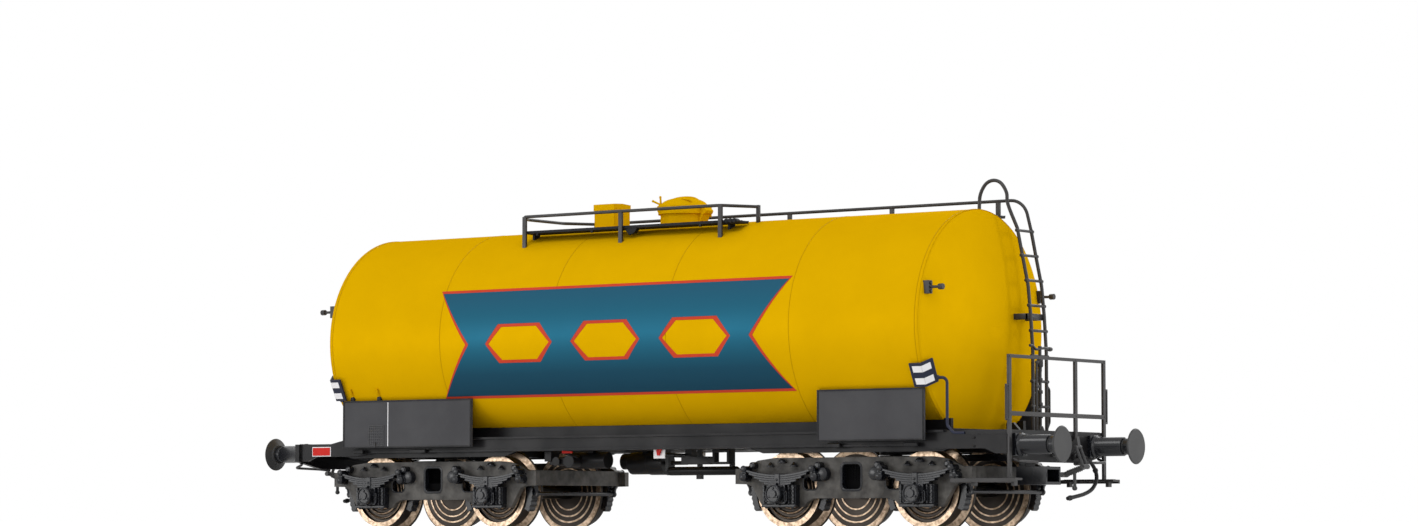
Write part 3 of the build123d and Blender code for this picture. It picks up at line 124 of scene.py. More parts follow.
class Graph:
    """Short calls to add nodes and links to one node tree."""

    def __init__(self, tree: bpy.types.NodeTree) -> None:
        """Keeps the tree.

        Args:
            tree: the tree of a material, a world or a shader group.
        """
        self.tree = tree

    def add(self, kind: str, inputs: dict[str | int, object] | None = None, **settings: object
            ) -> bpy.types.Node:
        """Adds one node.

        Args:
            kind: the node's type name.
            inputs: socket name or number to a constant or to another node's output.
            **settings: the node's own properties.

        Returns:
            The new node.
        """
        node = self.tree.nodes.new(kind)
        for name, value in settings.items():
            setattr(node, name, value)
        for key, value in (inputs or {}).items():
            if isinstance(value, Socket):
                self.tree.links.new(value, node.inputs[key])
            else:
                node.inputs[key].default_value = value
        return node

    def link(self, source: Socket, target: Socket) -> None:
        """Joins two sockets."""
        self.tree.links.new(source, target)

    def maths(self, operation: str, a: object, b: object = 0.0) -> Socket:
        """A Math node's result for two values or sockets."""
        return self.add("ShaderNodeMath", {0: a, 1: b}, operation=operation).outputs[0]

    def ramp(self, value: object, low: float, high: float, to: Flat = (0.0, 1.0)) -> Socket:
        """A clamped linear change of a value's range.

        Args:
            value: the value or socket to change.
            low: where the result starts.
            high: where the result ends.
            to: the results at low and at high.

        Returns:
            The socket with the result.
        """
        inputs = {"Value": value, "From Min": low, "From Max": high, "To Min": to[0], "To Max": to[1]}
        return self.add("ShaderNodeMapRange", inputs).outputs[0]

    def mix(self, share: object, a: object, b: object, blend: str = "MIX") -> Socket:
        """A mix of two colours.

        Args:
            share: the second colour's part, from 0 to 1.
            a: the first colour.
            b: the second colour.
            blend: the way of mixing.

        Returns:
            The socket with the mixed colour.
        """
        node = self.add("ShaderNodeMix", data_type="RGBA", blend_type=blend)
        for key, value in ((0, share), (6, a), (7, b)):
            if isinstance(value, Socket):
                self.link(value, node.inputs[key])
            else:
                node.inputs[key].default_value = value if key == 0 else (*value, 1.0)
        return node.outputs[2]

    def stops(self, value: object, stops: Sequence[tuple[float, Colour]]) -> Socket:
        """A colour for each value, blended between stops.

        Args:
            value: a socket from 0 to 1.
            stops: pairs of position and colour, in order.

        Returns:
            The socket with the colour.
        """
        node = self.add("ShaderNodeValToRGB", {0: value})
        elements = node.color_ramp.elements
        while len(elements) < len(stops):
            elements.new(1.0)
        for element, (place, colour) in zip(elements, stops):
            element.position = place
            element.color = (*colour, 1.0)
        return node.outputs[0]

    def place(self) -> dict[str, Socket]:
        """The object-space coordinates X, Y and Z, in metres."""
        node = self.add("ShaderNodeSeparateXYZ", {0: self.add("ShaderNodeTexCoord").outputs["Object"]})
        return {axis: node.outputs[axis] for axis in "XYZ"}

    def noise(self, scale: object, detail: float, roughness: float = 0.5) -> Socket:
        """Noise in object space.

        Args:
            scale: how fine it is, in cells for each metre.
            detail: how many finer layers lie over it.
            roughness: how strong those layers are.

        Returns:
            The socket with the noise.
        """
        place = self.add("ShaderNodeTexCoord").outputs["Object"]
        inputs = {"Vector": place, "Scale": scale, "Detail": detail, "Roughness": roughness}
        return self.add("ShaderNodeTexNoise", inputs).outputs[0]


@dataclass(frozen=True)
class Effects:
    """The shader node groups that several finishes share."""

    grain: bpy.types.NodeTree
    edges: bpy.types.NodeTree
    dust: bpy.types.NodeTree

    @staticmethod
    def _group(name: str, inputs: dict[str, float], outputs: dict[str, str]
               ) -> tuple[bpy.types.NodeTree, Graph]:
        """An empty group with its sockets.

        Args:
            name: the group's name.
            inputs: name to default value of each float input.
            outputs: name to socket type of each output.

        Returns:
            The group's tree and a graph to fill it.
        """
        tree = bpy.data.node_groups.new(name, "ShaderNodeTree")
        for label, value in inputs.items():
            socket = tree.interface.new_socket(name=label, in_out="INPUT", socket_type="NodeSocketFloat")
            socket.default_value = value
        for label, kind in outputs.items():
            tree.interface.new_socket(name=label, in_out="OUTPUT", socket_type=kind)
        return tree, Graph(tree)

    @classmethod
    def make(cls) -> Effects:
        """Builds the three groups."""
        return cls(grain=cls._make_grain(), edges=cls._make_edges(), dust=cls._make_dust())

    @classmethod
    def _make_grain(cls) -> bpy.types.NodeTree:
        """Fine moulded grain and slow mottling, in object space.

        Returns:
            The group's tree.
        """
        outputs = {"Height": "NodeSocketFloat", "Mottle": "NodeSocketFloat"}
        tree, graph = cls._group("Moulded grain", {"Scale": 4000.0, "Mottle Scale": 120.0}, outputs)
        source = graph.add("NodeGroupInput")
        fine = graph.noise(source.outputs["Scale"], 3.0, 0.55)
        slow = graph.noise(source.outputs["Mottle Scale"], 4.0, 0.6)
        graph.add("NodeGroupOutput", {"Height": fine, "Mottle": graph.ramp(slow, 0.35, 0.65)})
        return tree

    @classmethod
    def _make_edges(cls) -> bpy.types.NodeTree:
        """A mask along convex edges and a normal that rounds them.

        Returns:
            The group's tree.
        """
        outputs = {"Mask": "NodeSocketFloat", "Normal": "NodeSocketVector"}
        tree, graph = cls._group("Edge tint and painted edge highlights", {"Radius": 0.0001, "Break Up": 2500.0}, outputs)
        source = graph.add("NodeGroupInput")
        bevel = graph.add("ShaderNodeBevel", {"Radius": source.outputs["Radius"]}, samples=4)
        flat = graph.add("ShaderNodeNewGeometry").outputs["Normal"]
        turn = graph.add("ShaderNodeVectorMath", {0: bevel.outputs[0], 1: flat}, operation="DOT_PRODUCT")
        edge = graph.ramp(turn.outputs["Value"], 0.995, 0.86)
        patch = graph.ramp(graph.noise(source.outputs["Break Up"], 2.0), 0.38, 0.58)
        mask = graph.maths("MULTIPLY", edge, patch)
        graph.add("NodeGroupOutput", {"Mask": mask, "Normal": bevel.outputs[0]})
        return tree

    @classmethod
    def _make_dust(cls) -> bpy.types.NodeTree:
        """A thin film on faces that look up, thicker in patches.

        Returns:
            The group's tree.
        """
        tree, graph = cls._group("Settled dust", {"Scale": 300.0}, {"Mask": "NodeSocketFloat"})
        source = graph.add("NodeGroupInput")
        normal = graph.add("ShaderNodeNewGeometry").outputs["Normal"]
        facing = graph.add("ShaderNodeSeparateXYZ", {0: normal})
        up = graph.ramp(facing.outputs["Z"], 0.2, 0.95)
        cloud = graph.ramp(graph.noise(source.outputs["Scale"], 5.0), 0.3, 0.75)
        graph.add("NodeGroupOutput", {"Mask": graph.maths("MULTIPLY", up, cloud)})
        return tree


@dataclass(frozen=True)
class Finish:
    """One surface finish: its colours, gloss, grain, tinted edges and dust; on the tank paint and the bogie
    black the edge tint is a painted edge highlight.
    """

    name: str
    colour: Colour
    shade: Colour
    roughness: Flat = (0.4, 0.5)
    metallic: float = 0.0
    specular: float = 0.5
    tint: Colour = (1.0, 1.0, 1.0)
    grain: float = 5000.0
    grain_depth: float = 0.000004
    mottle: float = 140.0
    edge_radius: float = 0.00008
    edge_colour: Colour = (0.20, 0.20, 0.21)
    edge_share: float = 0.25
    dust_colour: Colour = (0.30, 0.29, 0.27)
    dust_share: float = 0.04
    dust_roughness: float = 0.5

    def build(self, effects: Effects) -> bpy.types.Material:
        """Makes the material.

        Args:
            effects: the shared shader groups.

        Returns:
            The material, ready to assign.
        """
        material = bpy.data.materials.new(self.name)
        material.use_nodes = True
        material.node_tree.nodes.clear()
        graph = Graph(material.node_tree)
        grain = graph.add("ShaderNodeGroup", {"Scale": self.grain, "Mottle Scale": self.mottle},
                          node_tree=effects.grain)
        edges = graph.add("ShaderNodeGroup", {"Radius": self.edge_radius}, node_tree=effects.edges)
        dust = graph.add("ShaderNodeGroup", node_tree=effects.dust)
        base = self.pattern(graph, graph.mix(grain.outputs["Mottle"], self.colour, self.shade))
        # Convex edges take the edge colour in patches: a painted edge highlight on the tank paint and the
        # bogie black, a plain edge tint elsewhere.
        edge_tint_and_highlight = graph.maths("MULTIPLY", edges.outputs["Mask"], self.edge_share)
        dusty = graph.maths("MULTIPLY", dust.outputs["Mask"], self.dust_share)
        colour = graph.mix(dusty, graph.mix(edge_tint_and_highlight, base, self.edge_colour), self.dust_colour)
        gloss = graph.ramp(grain.outputs["Mottle"], 0.0, 1.0, self.roughness)
        rough = graph.maths("ADD", gloss, graph.maths("MULTIPLY", dusty, self.dust_roughness))
        bump = graph.add("ShaderNodeBump", {
            "Strength": 1.0, "Distance": self.grain_depth, "Height": grain.outputs["Height"],
            "Normal": edges.outputs["Normal"]})
        shader = graph.add("ShaderNodeBsdfPrincipled", {
            "Base Color": colour, "Roughness": rough, "Metallic": self.metallic,
            "Specular IOR Level": self.specular, "Specular Tint": (*self.tint, 1.0),
            "Normal": bump.outputs[0]})
        graph.add("ShaderNodeOutputMaterial", {"Surface": shader.outputs[0]})
        return material

    def pattern(self, graph: Graph, base: Socket) -> Socket:
        """The painted pattern over the base colour; none here."""
        return base


@dataclass(frozen=True)
class BandFinish(Finish):
    """The painted band, coloured by height with painted light: a dull top, a painted sheen through the middle
    and painted shade towards the foot.
    """

    painted_sheen_levels: tuple[tuple[float, Colour], ...] = ()
    span: Flat = (18.0, 38.0)
    strength: float = 0.9

    def pattern(self, graph: Graph, base: Socket) -> Socket:
        """The colour by height over the floor, within the span."""
        share = graph.ramp(graph.place()["Z"], self.span[0] * MM, self.span[1] * MM)
        return graph.mix(self.strength, base, graph.stops(share, self.painted_sheen_levels))


@dataclass(frozen=True)
class WheelFinish(Finish):
    """Blackened metal with bright turned rings, coloured by the distance from the axle."""

    bright: Colour = (0.66, 0.50, 0.36)
    deep: Colour = (0.30, 0.21, 0.14)
    patch_scale: float = 1900.0
    reach: float = 6.5
    web_y: Flat = (8.5, 8.6)
    outer_rings: tuple[Flat, ...] = ((2.42, 2.60), (3.14, 3.32), (3.86, 4.04), (4.54, 5.34))
    inner_rings: tuple[Flat, ...] = ((2.56, 2.74), (3.56, 3.74), (4.42, 4.64), (5.36, 6.15))

    def pattern(self, graph: Graph, base: Socket) -> Socket:
        """Bright rings on both faces over the dark base.

        Args:
            graph: the material's graph.
            base: the socket with the dark base colour.

        Returns:
            The socket with the pattern's colour.
        """
        place = graph.place()
        from_bogie = graph.maths("SUBTRACT", graph.maths("ABSOLUTE", place["X"]), BOGIE_X * MM)
        across = graph.maths("SUBTRACT", graph.maths("ABSOLUTE", from_bogie), HALF_BASE * MM)
        rise = graph.maths("SUBTRACT", place["Z"], AXLE_Z * MM)
        square = graph.maths("ADD", graph.maths("POWER", across, 2.0), graph.maths("POWER", rise, 2.0))
        share = graph.maths("DIVIDE", graph.maths("SQRT", square), self.reach * MM)
        outer = graph.stops(share, self._masks(self.outer_rings))
        inner = graph.stops(share, self._masks(self.inner_rings))
        out = graph.maths("ABSOLUTE", place["Y"])
        mask = graph.mix(graph.ramp(out, self.web_y[0] * MM, self.web_y[1] * MM), inner, outer)
        facing = graph.add("ShaderNodeSeparateXYZ", {0: graph.add("ShaderNodeTexCoord").outputs["Normal"]})
        flat = graph.ramp(graph.maths("ABSOLUTE", facing.outputs["Y"]), 0.2, 0.5)
        cloud = graph.ramp(graph.noise(self.patch_scale, 3.0), 0.36, 0.60)
        brass = graph.mix(cloud, self.deep, self.bright)
        return graph.mix(graph.maths("MULTIPLY", mask, flat), base, brass)

    def _masks(self, rings: Sequence[Flat]) -> list[tuple[float, Colour]]:
        """Stops that are white inside each ring and black outside, with a soft edge.

        Args:
            rings: the inner and outer radius of each ring.

        Returns:
            The stops, over the share of the reach.
        """
        black = (0.0, 0.0, 0.0)
        white = (1.0, 1.0, 1.0)
        soft = 0.04
        stops = [(0.0, black)]
        for low, high in rings:
            stops += [((low - soft) / self.reach, black), (low / self.reach, white),
                      (high / self.reach, white), (min((high + soft) / self.reach, 1.0), black)]
        return stops


def finishes() -> dict[Slot | Paint, Finish]:
    """Lists the finish of every material slot and every paint.

    Returns:
        Slot or paint to its finish.
    """
    gold = (1.0, 0.62, 0.05)
    dark = (0.006, 0.006, 0.007)
    # The teal stops by height are painted light: painted shade at the foot, a painted sheen through the
    # middle and a duller top.
    teal = ((0.0, (0.010, 0.034, 0.060)), (0.28, (0.012, 0.055, 0.092)), (0.55, (0.016, 0.125, 0.200)),
            (0.72, (0.016, 0.100, 0.160)), (1.0, (0.020, 0.070, 0.120)))
    clean = {"dust_share": 0.0, "edge_share": 0.0}
    return {
        # The tank paint's brighter yellow edge colour is a painted edge highlight.
        Slot.TANK: Finish(
            "Tank paint", (0.612, 0.345, 0.0006), (0.588, 0.330, 0.0005), (0.38, 0.45), metallic=0.09,
            specular=0.0, tint=gold, grain=3500.0, grain_depth=0.000007, edge_colour=(0.74, 0.46, 0.01),
            edge_share=0.12, dust_share=0.0),
        Slot.FRAME: Finish("Frame black", (0.011, 0.0105, 0.011), dark, (0.32, 0.42), specular=0.16),
        # The bogie black's bluish edge colour is a painted edge highlight.
        Slot.BOGIE: Finish(
            "Bogie black", (0.0075, 0.008, 0.010), (0.0045, 0.005, 0.0075), (0.20, 0.30), specular=0.42,
            edge_share=0.45, edge_colour=(0.08, 0.09, 0.115)),
        Slot.WHEEL: WheelFinish(
            "Blackened wheel", (0.045, 0.038, 0.032), (0.030, 0.025, 0.022), (0.30, 0.38), metallic=0.9,
            edge_share=0.1, dust_share=0.0),
        Slot.AXLE: Finish("Axle steel", (0.05, 0.045, 0.042), (0.035, 0.033, 0.03), (0.3, 0.4), metallic=0.9),
        Slot.BUFFER: Finish(
            "Buffer metal", (0.040, 0.040, 0.040), (0.030, 0.030, 0.031), (0.34, 0.44), specular=0.3),
        Slot.RAIL: Finish(
            "Rail metal", (0.030, 0.0285, 0.029), (0.022, 0.020, 0.020), (0.34, 0.44), specular=0.35),
        Slot.BOARD: Finish(
            "Board grey", (0.056, 0.056, 0.060), (0.048, 0.048, 0.052), (0.5, 0.6), specular=0.14),
        Slot.MARKER: Finish(
            "Marker navy", (0.014, 0.018, 0.040), (0.012, 0.015, 0.034), (0.45, 0.55), specular=0.25),
        Slot.WALKWAY: Finish(
            "Walkway grey", (0.008, 0.0085, 0.011), (0.005, 0.0055, 0.007), (0.45, 0.55), specular=0.15),
        Slot.DECK: Finish("Deck grey", (0.016, 0.0155, 0.016), dark, (0.45, 0.55), specular=0.25),
        Paint.TEAL: BandFinish(
            "Teal paint", (0.019, 0.12, 0.19), (0.017, 0.11, 0.175), (0.34, 0.40), metallic=0.15,
            specular=0.02, painted_sheen_levels=teal, **clean),
        Paint.EDGING: Finish(
            "Red edging", (0.52, 0.052, 0.022), (0.48, 0.046, 0.02), (0.36, 0.42), specular=0.05, **clean),
        Paint.SEAM: Finish(
            "Seam line", (0.50, 0.282, 0.0006), (0.46, 0.255, 0.0005), (0.4, 0.5), specular=0.03, tint=gold,
            **clean),
        Paint.WHITE: Finish("White paint", (0.80, 0.79, 0.80), (0.74, 0.73, 0.75), (0.4, 0.5)),
        Paint.RED: Finish(
            "Red enamel", (0.52, 0.016, 0.010), (0.46, 0.013, 0.008), (0.3, 0.4), specular=0.08),
        # The frame plate's lighter, cloudy brown-grey is partly a dusty tone and partly a painted sheen on
        # the plates' flat sides.
        Paint.PLATE: Finish(
            "Frame plate with painted sheen", (0.085, 0.080, 0.073), (0.026, 0.024, 0.022), (0.42, 0.55), specular=0.25,
            mottle=420.0, edge_share=0.3),
        Paint.DEEP: Finish(
            "Deep shadow", (0.0022, 0.0022, 0.0025), (0.0016, 0.0016, 0.0018), (0.7, 0.8), specular=0.05,
            **clean),
        Paint.CLIP: Finish("Clip grey", (0.035, 0.035, 0.038), (0.028, 0.028, 0.031), (0.5, 0.6)),
    }


# Studio


@dataclass
class Studio:
    """The pale floor, the white surround, the lamps and the camera."""

    eye: Point = (329.755, -449.669, 2.116)
    aim: Point = (-0.58383, 0.80902, 0.06797)
    lens: float = 95.72
    world: float = 0.76
    floor_size: float = 4000.0
    floor_glow: float = 0.5

    def camera(self) -> None:
        """Stands the camera where the photograph was taken from."""
        data = bpy.data.cameras.new("camera")
        data.sensor_width = 36.0
        data.lens = self.lens
        data.clip_start = 0.01
        data.clip_end = 20.0
        camera = bpy.data.objects.new("camera", data)
        camera.location = Vector(self.eye) * MM
        camera.rotation_euler = Vector(self.aim).to_track_quat("-Z", "Y").to_euler()
        bpy.context.scene.collection.objects.link(camera)
        bpy.context.scene.camera = camera

    def surround(self) -> None:
        """A white world that the camera and reflections see, and a softer one that lights the car."""
        world = bpy.data.worlds.new("surround")
        world.use_nodes = True
        world.node_tree.nodes.clear()
        graph = Graph(world.node_tree)
        path = graph.add("ShaderNodeLightPath")
        seen = graph.maths("MAXIMUM", path.outputs["Is Camera Ray"], path.outputs["Is Transmission Ray"])
        seen = graph.maths("MAXIMUM", seen, path.outputs["Is Glossy Ray"])
        light = graph.add("ShaderNodeBackground", {"Color": (1.0, 1.0, 1.0, 1.0), "Strength": self.world})
        white = graph.add("ShaderNodeBackground", {"Color": (1.0, 1.0, 1.0, 1.0), "Strength": 1.0})
        both = graph.add("ShaderNodeMixShader", {0: seen, 1: light.outputs[0], 2: white.outputs[0]})
        graph.add("ShaderNodeOutputWorld", {"Surface": both.outputs[0]})
        bpy.context.scene.world = world

    def floor(self) -> None:
        """A plain pale floor just under the wheels."""
        half = self.floor_size / 2 * MM
        mesh = bpy.data.meshes.new("floor")
        corners = [(-half, -half, 0), (half, -half, 0), (half, half, 0), (-half, half, 0)]
        mesh.from_pydata(corners, [], [(0, 1, 2, 3)])
        floor = bpy.data.objects.new("floor", mesh)
        bpy.context.scene.collection.objects.link(floor)
        material = bpy.data.materials.new("floor")
        material.use_nodes = True
        shader = material.node_tree.nodes["Principled BSDF"]
        shader.inputs["Base Color"].default_value = (0.88, 0.88, 0.88, 1.0)
        shader.inputs["Roughness"].default_value = 0.8
        graph = Graph(material.node_tree)
        seen = graph.add("ShaderNodeLightPath").outputs["Is Camera Ray"]
        glow = graph.add("ShaderNodeEmission", {"Strength": graph.maths("MULTIPLY", seen, self.floor_glow)})
        both = graph.add("ShaderNodeAddShader", {0: shader.outputs[0], 1: glow.outputs[0]})
        graph.link(both.outputs[0], material.node_tree.nodes["Material Output"].inputs["Surface"])
        mesh.materials.append(material)

    def lamps(self) -> None:
        """Large soft lamps: one over the near side, one to its left, two at the ladder's end, one behind."""
        table = (  # name, place in mm, what it points at, width and height in mm, watts
            ("key", (60.0, -380.0, 460.0), (0.0, 0.0, 20.0), 300.0, 220.0, 0.98),
            ("front", (-330.0, -460.0, 70.0), (0.0, 0.0, 12.0), 260.0, 120.0, 0.48),
            ("end", (430.0, 240.0, 90.0), (56.0, -8.0, 30.0), 150.0, 110.0, 0.40),
            ("side", (480.0, -240.0, 160.0), (50.0, 0.0, 20.0), 240.0, 200.0, 0.18),
            ("back", (-60.0, 420.0, 300.0), (0.0, 0.0, 30.0), 420.0, 200.0, 0.5),
        )
        for name, place, target, width, height, watts in table:
            data = bpy.data.lights.new(name, "AREA")
            data.shape = "RECTANGLE"
            data.size = width * MM
            data.size_y = height * MM
            data.energy = watts
            lamp = bpy.data.objects.new(name, data)
            lamp.location = Vector(place) * MM
            lamp.rotation_euler = (Vector(target) - Vector(place)).to_track_quat("-Z", "Y").to_euler()
            bpy.context.scene.collection.objects.link(lamp)

    def build(self) -> None:
        """Makes the whole studio."""
        bpy.context.scene.view_settings.view_transform = "Standard"
        self.camera()
        self.surround()
        self.floor()
        self.lamps()


# Meshes


def rounded(points: Sequence[Point], radius: float, steps: int = 6) -> list[Vector]:
    """A path through points, with an arc in place of each inner corner.

    Args:
        points: the corners.
        radius: the arc's radius, less where a run is too short for it.
        steps: how many pieces an arc has.

    Returns:
        The points of the path.
    """
    corners = [Vector(point) for point in points]
    path = [corners[0]]
    for before, corner, after in zip(corners, corners[1:], corners[2:]):
        back = before - corner
        ahead = after - corner
        half = back.angle(ahead) / 2
        if half > math.radians(88.0):
            path.append(corner)
            continue
        reach = min(radius / math.tan(half), 0.49 * back.length, 0.49 * ahead.length)
        bend = reach * math.tan(half)
        middle = corner + (back.normalized() + ahead.normalized()).normalized() * bend / math.sin(half)
        start = corner + back.normalized() * reach - middle
        end = corner + ahead.normalized() * reach - middle
        for i in range(steps + 1):
            path.append(middle + start.slerp(end, i / steps).normalized() * bend)
    path.append(corners[-1])
    return path


def flowing(points: Sequence[Point], steps: int = 6) -> list[Vector]:
    """A smooth curve that goes through every point.

    Args:
        points: the points on the curve.
        steps: how many pieces lie between two of them.

    Returns:
        The points of the path.
    """
    knots = [Vector(point) for point in points]
    knots = [2 * knots[0] - knots[1], *knots, 2 * knots[-1] - knots[-2]]
    path = []
    for a, b, c, d in zip(knots, knots[1:], knots[2:], knots[3:]):
        for i in range(steps):
            t = i / steps
            path.append(0.5 * (2 * b + (c - a) * t + (2 * a - 5 * b + 4 * c - d) * t ** 2
                               + (3 * b - a - 3 * c + d) * t ** 3))
    path.append(knots[-2])
    return path


def around(centre: Flat, radius: float, first: float, count: int) -> list[Flat]:
    """Points spaced evenly round a circle.

    Args:
        centre: the circle's middle.
        radius: its radius.
        first: the first point's angle in degrees.
        count: how many points there are.

    Returns:
        The points.
    """
    angles = [math.radians(first + 360.0 / count * i) for i in range(count)]
    return [(centre[0] + radius * math.cos(angle), centre[1] + radius * math.sin(angle)) for angle in angles]


class Shape:
    """A mesh under construction, in millimetres of the row frame."""

    def __init__(self) -> None:
        """Starts with nothing."""
        self.mesh = bmesh.new()

    def box(self, low: Point, high: Point, bevel: float = 0.0) -> None:
        """Adds a box.

        Args:
            low: its lowest corner.
            high: its highest corner.
            bevel: the width of its chamfered edges, or 0.
        """
        size = Vector(high) - Vector(low)
        place = Matrix.Translation((Vector(low) + Vector(high)) / 2) @ Matrix.Diagonal((*size, 1.0))
        made = bmesh.ops.create_cube(self.mesh, size=1.0, matrix=place)
        if bevel > 0:
            edges = list(dict.fromkeys(edge for vert in made["verts"] for edge in vert.link_edges))
            bmesh.ops.bevel(self.mesh, geom=edges, offset=bevel, segments=1, affect="EDGES")

    def grid(self, rows: Sequence[Sequence[Point]], close_rows: bool = False, close_columns: bool = False
             ) -> None:
        """Adds a skin over rows of points.

        Args:
            rows: the rows, all of the same length.
            close_rows: whether the last row joins the first.
            close_columns: whether each row's last point joins its first.
        """
        verts = [[self.mesh.verts.new(point) for point in row] for row in rows]
        height = len(verts)
        width = len(verts[0])
        for i in range(height if close_rows else height - 1):
            for j in range(width if close_columns else width - 1):
                a, b = verts[i], verts[(i + 1) % height]
                k = (j + 1) % width
                self.mesh.faces.new((a[j], a[k], b[k], b[j]))

    def turned(self, outline: Sequence[Flat], centre: Point, axis: Point, steps: int = 24) -> None:
        """Adds a closed ring, or a solid where the outline starts and ends on the axis.

        Args:
            outline: points of (distance along the axis, radius), in order.
            centre: where the axis starts.
            axis: the axis's direction.
            steps: how many facets go round.
        """
        turn = Vector(axis).to_track_quat("Z", "X").to_matrix()
        along = turn @ Vector(UP)
        rows = []
        for i in range(steps):
            angle = 2 * math.pi * i / steps
            spoke = turn @ Vector((math.cos(angle), math.sin(angle), 0.0))
            rows.append([tuple(Vector(centre) + along * a + spoke * r) for a, r in outline])
        solid = outline[0][1] == 0 and outline[-1][1] == 0
        self.grid(rows, close_rows=True, close_columns=not solid)

    def solid(self, rim: Sequence[Flat], centre: Point, axis: Point, steps: int = 24) -> None:
        """Adds a turned solid with flat ends.

        Args:
            rim: points of (distance along the axis, radius), from one end to the other.
            centre: where the axis starts.
            axis: the axis's direction.
            steps: how many facets go round.
        """
        self.turned([(rim[0][0], 0.0), *rim, (rim[-1][0], 0.0)], centre, axis, steps)

    def bolt(self, centre: Point, axis: Point, radius: float = 0.18, height: float = 0.12, sides: int = 6
             ) -> None:
        """Adds a bolt head, or a round rivet where it has more sides.

        Args:
            centre: its middle on the face that it stands on.
            axis: the way out of that face.
            radius: its radius.
            height: how far it stands out.
            sides: how many facets go round.
        """
        root = -0.05
        self.solid([(root, radius), (height * 0.75, radius), (height, radius * 0.7)], centre, axis, sides)

    def tube(self, path: Sequence[Vector | Point], radius: float, sides: int = 10) -> None:
        """Adds a round bar along a path, closed at both ends.

        Args:
            path: the points of its middle line.
            radius: its radius.
            sides: how many facets go round.
        """
        line = [Vector(point) for point in path]
        line = [line[0]] + [b for a, b in zip(line, line[1:]) if (b - a).length > 1e-4]
        heading = (line[1] - line[0]).normalized()
        spoke = heading.orthogonal().normalized()
        rows = []
        for i, point in enumerate(line):
            before = (point - line[i - 1]).normalized() if i else heading
            after = (line[i + 1] - point).normalized() if i + 1 < len(line) else before
            ahead = (before + after).normalized()
            spoke = (spoke - ahead * spoke.dot(ahead)).normalized()
            side = ahead.cross(spoke)
            ring = []
            for j in range(sides):
                angle = 2 * math.pi * j / sides
                ring.append(tuple(point + (spoke * math.cos(angle) + side * math.sin(angle)) * radius))
            rows.append(ring)
        self.grid(rows, close_columns=True)
        for row in (rows[0], rows[-1]):
            self.mesh.faces.new([self.mesh.verts.new(point) for point in row])

    def prism(self, outline: Sequence[Point], thick: Point) -> None:
        """Adds a plate.

        Args:
            outline: the corners of one face.
            thick: the vector from that face to the other one.
        """
        low = [self.mesh.verts.new(point) for point in outline]
        high = [self.mesh.verts.new(Vector(point) + Vector(thick)) for point in outline]
        self.mesh.faces.new(low)
        self.mesh.faces.new(high)
        for i in range(len(low)):
            j = (i + 1) % len(low)
            self.mesh.faces.new((low[i], low[j], high[j], high[i]))

    def join(self, other: Shape) -> None:
        """Takes over another shape's mesh.

        Args:
            other: the shape, which is used up.
        """
        data = bpy.data.meshes.new("part")
        other.mesh.to_mesh(data)
        other.mesh.free()
        self.mesh.from_mesh(data)
        bpy.data.meshes.remove(data)

    def copy(self, *places: Matrix) -> None:
        """Adds copies of everything so far.

        Args:
            *places: one matrix for each copy.
        """
        source = self.mesh.verts[:] + self.mesh.edges[:] + self.mesh.faces[:]
        for place in places:
            made = bmesh.ops.duplicate(self.mesh, geom=source)["geom"]
            verts = [item for item in made if isinstance(item, bmesh.types.BMVert)]
            bmesh.ops.transform(self.mesh, matrix=place, verts=verts)

    def finish(self, name: str, body: str, material: bpy.types.Material, slot: Slot, smooth: float = 35.0
               ) -> bpy.types.Object:
        """Makes the object.

        Args:
            name: the piece's name.
            body: the body that it rides on.
            material: its material.
            slot: the record's slot that it stands for; not used.
            smooth: edges flatter than this many degrees are shaded smooth.

        Returns:
            The new object.
        """
        bmesh.ops.remove_doubles(self.mesh, verts=self.mesh.verts, dist=0.0005)
        bmesh.ops.recalc_face_normals(self.mesh, faces=self.mesh.faces)
        bmesh.ops.scale(self.mesh, vec=(MM, MM, MM), verts=self.mesh.verts)
        data = bpy.data.meshes.new(name)
        self.mesh.to_mesh(data)
        self.mesh.free()
        piece = bpy.data.objects.new(name, data)
        bpy.context.scene.collection.objects.link(piece)
        data.materials.append(material)
        soften(piece, smooth)
        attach(piece, body)
        LOG.info("made %s with %d faces on %s", name, len(data.polygons), body)
        return piece


def soften(piece: bpy.types.Object, degrees: float) -> None:
    """Shades a piece smooth, apart from its sharp edges.

    Args:
        piece: the piece.
        degrees: the angle from which an edge counts as sharp.
    """
    data = piece.data
    data.shade_smooth()
    data.set_sharp_from_angle(angle=math.radians(degrees))


# The car


@dataclass
class Car:
    """What every sub-assembly needs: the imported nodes, the built materials and how the nodes are shaded."""

    nodes: dict[str, bpy.types.Object]
    materials: dict[Slot | Paint, bpy.types.Material]
    barred: tuple[str, ...] = (
        "platform_railing", "drawgear", "lamp_brackets", "axleboxes_left", "axleboxes_right")
    finishes: dict[str, Slot | Paint] = field(default_factory=lambda: {
        "bogie_frame_left": Paint.PLATE, "bogie_frame_right": Paint.PLATE, "buffer_housings": Slot.BOGIE})
    node_smooth: float = 32.0
    barred_smooth: float = BAR_SMOOTH

    def dress(self, slots: dict[str, str]) -> None:
        """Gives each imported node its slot's material, or the one that finishes names for it.

        Args:
            slots: node name to slot name.
        """
        by_name = {slot.value: slot for slot in Slot}
        for name, node in self.nodes.items():
            node.data.materials.clear()
            finish = self.finishes.get(name, by_name[slots[name]])
            node.data.materials.append(self.materials[finish])
            soften(node, self.barred_smooth if name in self.barred else self.node_smooth)

    def fit(self, shape: Shape, name: str, slot: Slot, paint: Slot | Paint | None = None, body: str = "car",
            smooth: float = 35.0) -> bpy.types.Object:
        """Finishes a shape as one piece of the car.

        Args:
            shape: the shape, which is used up.
            name: the piece's name.
            slot: the record's slot that it stands for.
            paint: its finish, where that isn't the slot's own.
            body: the body that it rides on.
            smooth: edges flatter than this many degrees are shaded smooth.

        Returns:
            The new object.
        """
        return shape.finish(name, body, self.materials[paint or slot], slot, smooth)


